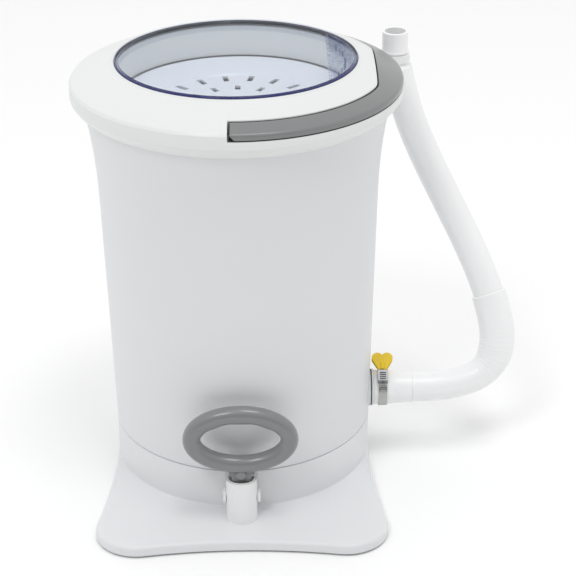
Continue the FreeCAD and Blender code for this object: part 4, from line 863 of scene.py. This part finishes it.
def inner_line(angle):
    """Radius of the handle's inner edge: the arm's circle, eased into the grip's straight chord."""
    along = math.cos(angle)
    chord = CHORD / along if along > 0.5 else ARM_INNER * 2
    apart = abs(chord - ARM_INNER)
    blend = math.exp(-apart / EASING)
    return max(chord, ARM_INNER) - apart - EASING * math.log(1 + blend) * 0.6


# %% [markdown]
# The collar's top slopes to its edge and turns over into the band, and its underside follows one
# wall further in. Along the handle, the top is cut down to the recess's floor.

# %% Weave the collar
def collar_section(recess_radius, recessed):
    """Corners of the collar's section, as (radius, height, softness)."""
    outer = [(THROAT, 438, 0.6), (THROAT, RIM - 5.4, 0.3), (126.2, RIM - 5.4, 0.3),
             (126.2, RIM + 0.6, 0.6), (128.2, RIM + 0.9, 1.2), (BEAD + 0.8, RIM - 0.7, 0.5),
             (recess_radius, cone(recess_radius), 0.5)]
    depth = HANDLE_LOW - GAP
    if recessed:
        outer += [(recess_radius, depth, 0.8), (BAND, depth, 0.6)]
    else:
        outer += [(EDGE_R - 0.1, EDGE_Z + 0.05, 1.2), (BAND, BAND_TOP, 1.6)]
    outer += [(BAND, BAND_LOW + 1.5, 3), (BAND - 4.2, BAND_LOW - 4.2, 5), (161.4, TUB_TOP - 0.1, 0.6),
              (156.8, TUB_TOP, 0.3), (154.6, 423, 0.3), (151.6, 423, 0.3), (153.8, 433, 0.3),
              (170.2, 443, 0.3)]
    inner_radius = recess_radius - WALL
    if recessed:
        inner = [(170.2, depth - WALL, 0.3), (inner_radius, depth - WALL, 0.3)]
    else:
        inner = [(170.2, BAND_TOP - WALL, 0.3), (168.5, EDGE_Z - WALL, 0.3)]
    inner += [(inner_radius, cone(inner_radius) - WALL - 0.6, 0.3), (132.5, RIM - WALL - 1, 0.3),
              (129.2, RIM - 5 - WALL, 0.3), (127, 438, 0.3)]
    return softened(outer + inner, steps=3)


def upright(section, angle):
    return [(p.x * math.cos(angle), p.x * math.sin(angle), p.y) for p in section]


def in_plane(section, across, side):
    """The section carried into the plane at one X, in front (side -1) or behind (side 1)."""
    return [(across, side * math.sqrt(p.x * p.x - across * across), p.y) for p in section]


def make_collar():
    end_x = PIVOT_X - STUB - STUB_GAP
    end_angle = math.pi / 2 + math.asin(-end_x / ARM_MIDDLE)
    columns = []
    steps = 132
    for step in range(steps + 1):
        angle = -end_angle + 2 * end_angle * step / steps
        section = collar_section(inner_line(angle) - GAP, True)
        if step in (0, steps):
            columns.append(in_plane(section, end_x, -1 if step == 0 else 1))
        else:
            columns.append(upright(section, angle))
    plain = collar_section(ARM_INNER - GAP, False)
    columns.append(in_plane(plain, end_x, 1))
    rest = 108
    for step in range(1, rest):
        columns.append(upright(plain, end_angle + (2 * math.pi - 2 * end_angle) * step / rest))
    columns.append(in_plane(plain, end_x, -1))
    collar = woven("collar_shell", columns)
    pivots = []
    for side in (-1, 1):
        face = side * (ARM_INNER - GAP - 0.4)
        outline = [(-4.5, face), (10.5, face), (10.5, face - side * 21.5), (-4.5, face - side * 21.5)]
        pivots.append(prism(f"pivot_block_{side}", outline, 449, 464))
    settle(joined("collar_moulding", collar, *pivots), "housing", "collar_white", ["collar"])


make_collar()


# %% [markdown]
# A thin dark strip in the recess paints the shade of the gap round the folded handle as a black line: an
# L-shaped strip along the arm, and a plate at each end.

# %% Paint the shade of the recess gap
SHADE_STRIP = 0.35


# Painted shade: the dark strip and plates stand where the gap round the handle is only in shadow.
def make_gap_shade():
    end_x, floor = PIVOT_X - STUB - STUB_GAP, HANDLE_LOW - GAP
    end_angle = math.pi / 2 + math.asin(-(end_x + 1) / ARM_MIDDLE)
    strips, plates = [], []
    for step in range(97):
        angle = -end_angle + 2 * end_angle * step / 96
        inner = inner_line(angle) - GAP
        top = cone(inner) - 1.2
        corners = [(inner, floor), (BAND - 1, floor), (BAND - 1, floor + SHADE_STRIP),
                   (inner + SHADE_STRIP, floor + SHADE_STRIP), (inner + SHADE_STRIP, top), (inner, top)]
        strips.append(upright([Vector(corner) for corner in corners], angle))
    plate = [Vector(corner) for corner in (
        (ARM_INNER, floor + 0.2), (BAND - 0.8, floor + 0.2), (BAND - 0.8, BAND_TOP - 1.2),
        (EDGE_R - 1, EDGE_Z - 1), (ARM_INNER, cone(ARM_INNER) - 1.2))]
    for side in (-1, 1):
        columns = [in_plane(plate, across, side) for across in (end_x + 0.05, end_x + SHADE_STRIP)]
        plates.append(woven(f"end_shade_plate_{side}", columns, round_about=False))
    strip = woven("recess_shade_strip", strips, round_about=False)
    settle(joined("recess_gap_shade", strip, *plates), "housing", "rubber")


make_gap_shade()


# %% [markdown]
# The handle fills the recess but for a small gap. Its outer top edge is one large rounding, and
# its ends curve up from the floor, which they have to clear as the handle swings.

# %% Weave the carry handle
CROWDING = 0.018      # how far the columns are drawn together along the arm


def make_handle():
    end_x, round_off = PIVOT_X - STUB, 5.5
    end_angle = math.pi / 2 + math.asin(-end_x / ARM_MIDDLE)
    columns, steps = [], 150
    for step in range(steps + 1):
        share = step / steps
        angle = -end_angle + 2 * end_angle * (share + CROWDING * math.sin(4 * math.pi * share))
        inner = inner_line(angle)
        across = ARM_MIDDLE * math.cos(angle)
        into = round_off - (across - end_x)
        lift = round_off - math.sqrt(max(round_off ** 2 - into ** 2, 0)) if into > 0 else 0.0
        low = HANDLE_LOW + min(lift, round_off - 0.4)
        section = softened([(inner, low, 0.8), (BAND, low, 0.8), (BAND, cone(BAND) - 0.4, 9),
                            (inner, cone(inner), 1.2)], steps=8)
        if step in (0, steps):
            columns.append(in_plane(section, end_x, -1 if step == 0 else 1))
        else:
            columns.append(upright(section, angle))
    settle(woven("bail", columns, round_about=False), "carry_handle", "grey_handle", ["carry_handle"])


make_handle()

# %% [markdown]
# ## The pull grip
#
# The grip is an oval ring of round section, with shallow waves for the fingers along the inside
# of its top. A flat stem runs down from it into the guide and hides the end of the cord. The
# ring is woven from columns like the other shells, and the waves are added to the section's
# radius only where it faces the fingers.

# %% Weave the grip
GRIP_Y, GRIP_Z, GRIP_HALF_X, GRIP_HALF_Z, GRIP_TUBE = -165.0, 117.5, 51.0, 29.5, 9.5
STEM_Y, STEM_LOW = -163.0, 60.0


def grip_columns():
    columns = []
    for step in range(144):
        turn = 2 * math.pi * step / 144
        middle = Vector((GRIP_HALF_X * math.cos(turn), GRIP_HALF_Z * math.sin(turn)))
        out = Vector((GRIP_HALF_Z * math.cos(turn), GRIP_HALF_X * math.sin(turn))).normalized()
        fingers = eased((math.sin(turn) - 0.25) / 0.5) * (0.5 - 0.5 * math.cos(10 * turn))
        column = []
        for row in range(28):
            around = 2 * math.pi * row / 28
            facing = max(0.0, -math.cos(around))
            tube = GRIP_TUBE + 1.1 * fingers * facing ** 1.5
            place = middle + out * (tube * math.cos(around))
            column.append((place.x, GRIP_Y + GRIP_TUBE * 0.96 * math.sin(around), GRIP_Z + place.y))
        columns.append(column)
    return columns


def stem_columns():
    """The stem narrows downwards and its edges are rounded off."""
    columns = []
    for height, half_width, half_thick in ((60, 7.6, 2.2), (61, 8.7, 3.1), (63, 9.2, 3.5), (67.5, 9.4, 3.5),
                                           (69, 9.8, 3.5), (74, 11.5, 3.5), (82, 14.0, 3.5), (91, 16.0, 3.5),
                                           (92, 15.6, 3.0)):
        outline = softened([(-half_width, -half_thick, 2), (half_width, -half_thick, 2),
                            (half_width, half_thick, 2), (-half_width, half_thick, 2)])
        columns.append([(p.x, STEM_Y + p.y, height) for p in outline])
    return columns


def make_grip():
    ring = woven("grip_ring", grip_columns())
    stem = woven("grip_stem", stem_columns(), round_about=False)
    settle(joined("pull_ring", ring, stem), "pull_grip", "grey_grip", ["pull_handle"])
    facing_front = Matrix.Rotation(math.radians(90), 4, "X")
    plug = turned("plug_button", [(0, 3.4), (5, 3.4), (5, 8.5, 0.9), (0, 8.5, 0)], "grey_grip", steps=40,
                  at=(0, STEM_Y, 77), along=facing_front)
    settle(plug, "pull_grip", "grey_grip", ["cord_plug"])


make_grip()

# %% [markdown]
# ## The cord guide
#
# The guide is a deep white channel in front of the foot's ring. It is one outline, C-shaped from
# above with two short lips at the back, raised from the apron and bevelled.

# %% Raise the guide
GUIDE_HALF, GUIDE_FRONT, GUIDE_MIDDLE, GUIDE_TOP, GUIDE_WALL = 16.5, 173.0, -158.0, 67.0, 2.4
GUIDE_STEPS = 28


def guide_arc(half_width, depth):
    """The guide's rounded front, from its left side to its right."""
    turns = [math.pi * (1 + step / GUIDE_STEPS) for step in range(GUIDE_STEPS + 1)]
    return [(half_width * math.cos(turn), GUIDE_MIDDLE + depth * math.sin(turn)) for turn in turns]


def make_guide():
    back, mouth = -(RING + 0.2), GUIDE_MIDDLE + 3
    inner, depth = GUIDE_HALF - GUIDE_WALL, GUIDE_FRONT + GUIDE_MIDDLE
    outside = [(-GUIDE_HALF, back)] + guide_arc(GUIDE_HALF, depth) + [(GUIDE_HALF, back)]
    inside = list(reversed(guide_arc(inner, depth - GUIDE_WALL)))
    lips = [(inner, back), (inner, mouth + 1.6), (inner - 3.6, mouth + 1.6), (inner - 3.6, mouth),
            (inner, mouth)]
    outline = outside + lips + inside + [(-x, y) for x, y in reversed(lips)]
    channel = prism("guide_channel", outline, 16.6, GUIDE_TOP)
    floor = prism("guide_floor", [(x * 0.93, y * 0.995) for x, y in outside], 14, 24)
    settle(joined("guide_shell", channel, floor), "housing", "guide_white", ["cord_guide"], bevel=0.5)


make_guide()

# %% [markdown]
# ## Rope
#
# The pull cord is a three-strand rope, three millimetres thick. In the recipe each strand winds round the
# path: its points are pushed sideways by the cosine and sine of an angle that grows with the distance along
# the path. The stretch between the pulley and the grip is tied to no body.


# %% Recipe: laid rope
def rope_recipe():
    recipe = Recipe("laid_rope", lay="float", strand="float", offset="float", step="float")
    path = recipe.node("GeometryNodeMeshToCurve", inputs={"Mesh": recipe.entry.outputs["Start"]})
    even = recipe.node("GeometryNodeResampleCurve", {"mode": "LENGTH"}, {
        "Curve": path.outputs[0], "Length": recipe.given("step")})
    along = recipe.reading(recipe.node("GeometryNodeSplineParameter"), "Length")
    side = recipe.node("GeometryNodeInputNormal").outputs[0]
    ahead = recipe.node("GeometryNodeInputTangent").outputs[0]
    across = recipe.node("ShaderNodeVectorMath", {"operation": "CROSS_PRODUCT"}, {
        0: ahead, 1: side}).outputs[0]
    ring = recipe.node("GeometryNodeCurvePrimitiveCircle", inputs={
        "Resolution": 8, "Radius": recipe.given("strand")})
    strands = recipe.node("GeometryNodeJoinGeometry")
    for number in range(3):
        angle = along / recipe.given("lay") * (2 * math.pi) + 2 * math.pi * number / 3
        pushes = []
        for direction, share in ((side, angle.cosine()), (across, angle.sine())):
            pushes.append(recipe.node("ShaderNodeVectorMath", {"operation": "SCALE"}, {
                0: direction, "Scale": share * recipe.given("offset")}).outputs[0])
        push = recipe.node("ShaderNodeVectorMath", {"operation": "ADD"}, {0: pushes[0], 1: pushes[1]})
        wound = recipe.node("GeometryNodeSetPosition", inputs={
            "Geometry": even.outputs[0], "Offset": push.outputs[0]})
        strand = recipe.node("GeometryNodeCurveToMesh", inputs={
            "Curve": wound.outputs[0], "Profile Curve": ring.outputs[0], "Fill Caps": True})
        recipe.tree.links.new(strand.outputs[0], strands.inputs[0])
    recipe.close(strands.outputs[0])
    return recipe


ROPE = rope_recipe()
CORD_Z, PULLEY_R, PULLEY_Y = 35.0, 8.0, -155.0
REEL_X, REEL_Y, REEL_CORE = 30.0, -40.0, 28.5


def rope(name, points, step=0.0006):
    return ROPE.grow(name, thread(name + "_path", points), "cord", lay=0.011, strand=0.00068,
                     offset=0.0008, step=step)


# %% [markdown]
# The cord is laid in three stretches: from the reel round under the pulley, up into the grip's stem, and the
# turns on the reel. The middle one is tied to no body.

# %% Lay the ropes
def make_ropes():
    turn = [(0, PULLEY_Y - PULLEY_R * math.sin(a), CORD_Z + PULLEY_R * (1 - math.cos(a)))
            for a in (math.pi / 2 * step / 12 for step in range(13))]
    run = rope("cord_through_bush", [(0, -54, CORD_Z), (0, -100, CORD_Z)] + turn)
    settle(run, "housing", "cord", ["cord_run"])
    rise = [(0, STEM_Y, CORD_Z + PULLEY_R + step * 0.5) for step in range(37)]
    pull = rope("cord_to_grip", rise, step=0.0004)
    settle(pull, None, "cord", ["pull_cord"])
    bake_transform(pull)
    coil, radius = [], REEL_CORE + 1.5
    for step in range(109):
        angle = math.radians(10 * step)
        height = CORD_Z - 3.2 + 6.4 * step / 108
        coil.append((REEL_X - radius * math.cos(angle), REEL_Y - radius * math.sin(angle), height))
    settle(rope("cord_on_reel", coil, step=0.0012), "reel", "cord", ["reel_cord"])


make_ropes()

# %% [markdown]
# ## The clamp
#
# A steel band holds the hose on its pipe. A worm screw in the housing bites into the band's slots
# and is turned by a yellow key, whose two rounded lobes give the fingers a hold. The key's outline
# is drawn flat, raised, bevelled and then tipped into the clamp's own slant.

# %% Shape the key
CLAMP_X, DRAIN_Z, CLAMP_OUT, KEY_TILT = 157.0, 86.0, 22.9, math.radians(32)
KEY_START, KEY_LENGTH, KEY_HALF, KEY_THICK = 15.0, 13.6, 10.5, 5.0


def clamp_place():
    """Local X is across, local Y outwards from the band, and local Z along the screw."""
    out = Vector((0, -math.sin(KEY_TILT), math.cos(KEY_TILT)))
    along = Vector((0, math.cos(KEY_TILT), math.sin(KEY_TILT)))
    turn = Matrix((Vector((1, 0, 0)), out, along)).transposed().to_4x4()
    return Matrix.Translation((Vector((CLAMP_X, 0, DRAIN_Z)) + out * CLAMP_OUT) * MM) @ turn


def key_outline():
    lobe = KEY_LENGTH * 0.38
    centre_x, centre_z = KEY_HALF - lobe, KEY_START + KEY_LENGTH - lobe
    half = [(3.6, KEY_START - 5), (5.0, KEY_START - 2.5), (7.0, KEY_START + 0.8)]
    for step in range(13):
        angle = math.radians(-28 + 152 * step / 12)
        half.append((centre_x + lobe * math.cos(angle), centre_z + lobe * math.sin(angle)))
    half.append((1.6, KEY_START + KEY_LENGTH - 2.2))
    return half + [(0, KEY_START + KEY_LENGTH - 2.5)] + [(-x, z) for x, z in reversed(half)]


def make_key():
    flat = prism("key_wing", key_outline(), -KEY_THICK / 2, KEY_THICK / 2)
    flat.data.transform(Matrix.Rotation(math.radians(90), 4, "X"))
    low, high = KEY_START - 6.5, KEY_START + 2
    hub = turned("key_hub", [(0, low), (3.8, low, 0.6), (3.8, high, 0.8), (0, high)], "key_yellow", steps=32)
    key = joined("yellow_key", flat, hub)
    key.data.transform(clamp_place())
    settle(key, "clamp_key", "key_yellow", ["clamp_key"], bevel=1.3)


make_key()

# %% [markdown]
# The worm's housing is a folded steel saddle over the band. Dark bars on the saddle's window paint the shade
# of the band's slots, where the worm bites. Both pieces are drawn flat and then tipped into the clamp's
# slant.


# %% Shape the saddle and paint the slots' shade
def tipped(piece):
    """Turn a piece drawn with X across, Y along the screw and Z outwards into its place."""
    swap = Matrix(((1, 0, 0, 0), (0, 0, 1, 0), (0, 1, 0, 0), (0, 0, 0, 1)))
    piece.data.transform(clamp_place() @ swap)
    piece.data.flip_normals()
    return piece


def make_saddle():
    outline = softened([(-5.4, -6.5, 1), (5.4, -6.5, 1), (5.4, 6.5, 1), (-5.4, 6.5, 1)])
    saddle = prism("worm_saddle", outline, -3.1, 4.4)
    # Painted shade: dark bars stand where the open slots would show shadow.
    bars = [prism(f"slot_{row}", [(-3.6, low), (3.6, low), (3.6, low + 1.3), (-3.6, low + 1.3)], 4.2, 4.7)
            for row, low in enumerate((-5.4, -2.8, -0.2, 2.4))]
    settle(tipped(saddle), "housing", "steel", ["clamp_housing"], bevel=0.3)
    settle(tipped(joined("worm_slots", *bars)), "housing", "rubber")


make_saddle()

# %% [markdown]
# ## The lid
#
# The clear lid is a shallow dish inside a tinted edge ring. Its finger pocket has small moulded
# ribs that catch the light. They are one rib copied round the lid's axis.


# %% Ribs in the finger pocket
def make_pocket_ribs():
    rib = turned("rib", [(0, 0), (0.9, 0, 0.3), (0.9, 7, 0.8), (0, 7)], "clear_lid",
                 steps=16, at=(113, 0, 469))
    ribs = copies_round("pocket_ribs", rib, "clear_lid", 9, -22, 5.5)
    settle(ribs, "lid", "clear_lid")


make_pocket_ribs()


# %% [markdown]
# The tinted edge ring stands a little above the collar, with a rounded bead on top.

# %% Turn the edge ring
def make_rim():
    inner, outer, low, top = 124.0, 125.7, RIM - 4.6, RIM + 2.6
    section = [(inner, low, 0.3), (outer, low, 0.3), (outer, top, 1.2), (inner - 1.8, top, 1.2),
               (inner - 1.8, RIM + 0.7, 0.3), (inner, RIM + 0.7, 0.2)]
    rim = turned("edge_ring", section, "navy_rim", steps=180)
    settle(rim, "lid", "navy_rim", ["lid_rim"])


make_rim()

# %% [markdown]
# ## Floor and light
#
# The washer stands on a plain pale floor under soft light from all round, as in a white studio
# tent that is dimmer towards the viewer. Two broad lamps high above give upward surfaces more
# light than upright ones, and give the handle and the grip their highlights.


# %% Floor, sky and lamps
TENT_FRONT, TENT_BACK = 0.12, 0.9
FLOOR_HALF = 9000


def make_studio():
    square = [(-FLOOR_HALF, -FLOOR_HALF), (FLOOR_HALF, -FLOOR_HALF),
              (FLOOR_HALF, FLOOR_HALF), (-FLOOR_HALF, FLOOR_HALF)]
    floor = prism("floor", square, -6, -0.1)
    floor.data.materials.append(moulded("floor_white", (0.95, 0.95, 0.95), 0.8, patch=0.4, unevenness=0.004))
    world = bpy.data.worlds.new("studio")
    world.use_nodes = True
    sky = world.node_tree.nodes["Background"]
    sky.inputs["Strength"].default_value = 1.0
    tent = Drawing(world.node_tree)
    gaze = tent.node("ShaderNodeTexCoord").outputs["Generated"]
    gaze = tent.node("ShaderNodeSeparateXYZ", inputs={"Vector": gaze})
    behind = tent.node("ShaderNodeMapRange", {"interpolation_type": "SMOOTHSTEP"}, {
        "Value": tent.reading(gaze, "Y") + tent.reading(gaze, "Z") * 0.6,
        "From Min": -1.0, "From Max": 0.0, "To Min": TENT_FRONT, "To Max": TENT_BACK})
    tent.tree.links.new(behind.outputs[0], sky.inputs["Color"])
    bpy.context.scene.world = world
    for name, place, aim, width, power in (
            ("key_lamp", (-1.6, -3.0, 4.4), (0, 0, 0.2), 1.3, 42),
            ("top_lamp", (0.7, -1.3, 4.8), (0, 0, 0.2), 1.4, 42)):
        lamp = bpy.data.lights.new(name, "AREA")
        lamp.size, lamp.energy = width, power
        stand = added(name, lamp)
        stand.location = place
        stand.rotation_euler = (Vector(aim) - Vector(place)).to_track_quat("-Z", "Y").to_euler()
    bpy.context.scene.view_settings.view_transform = "Standard"


make_studio()
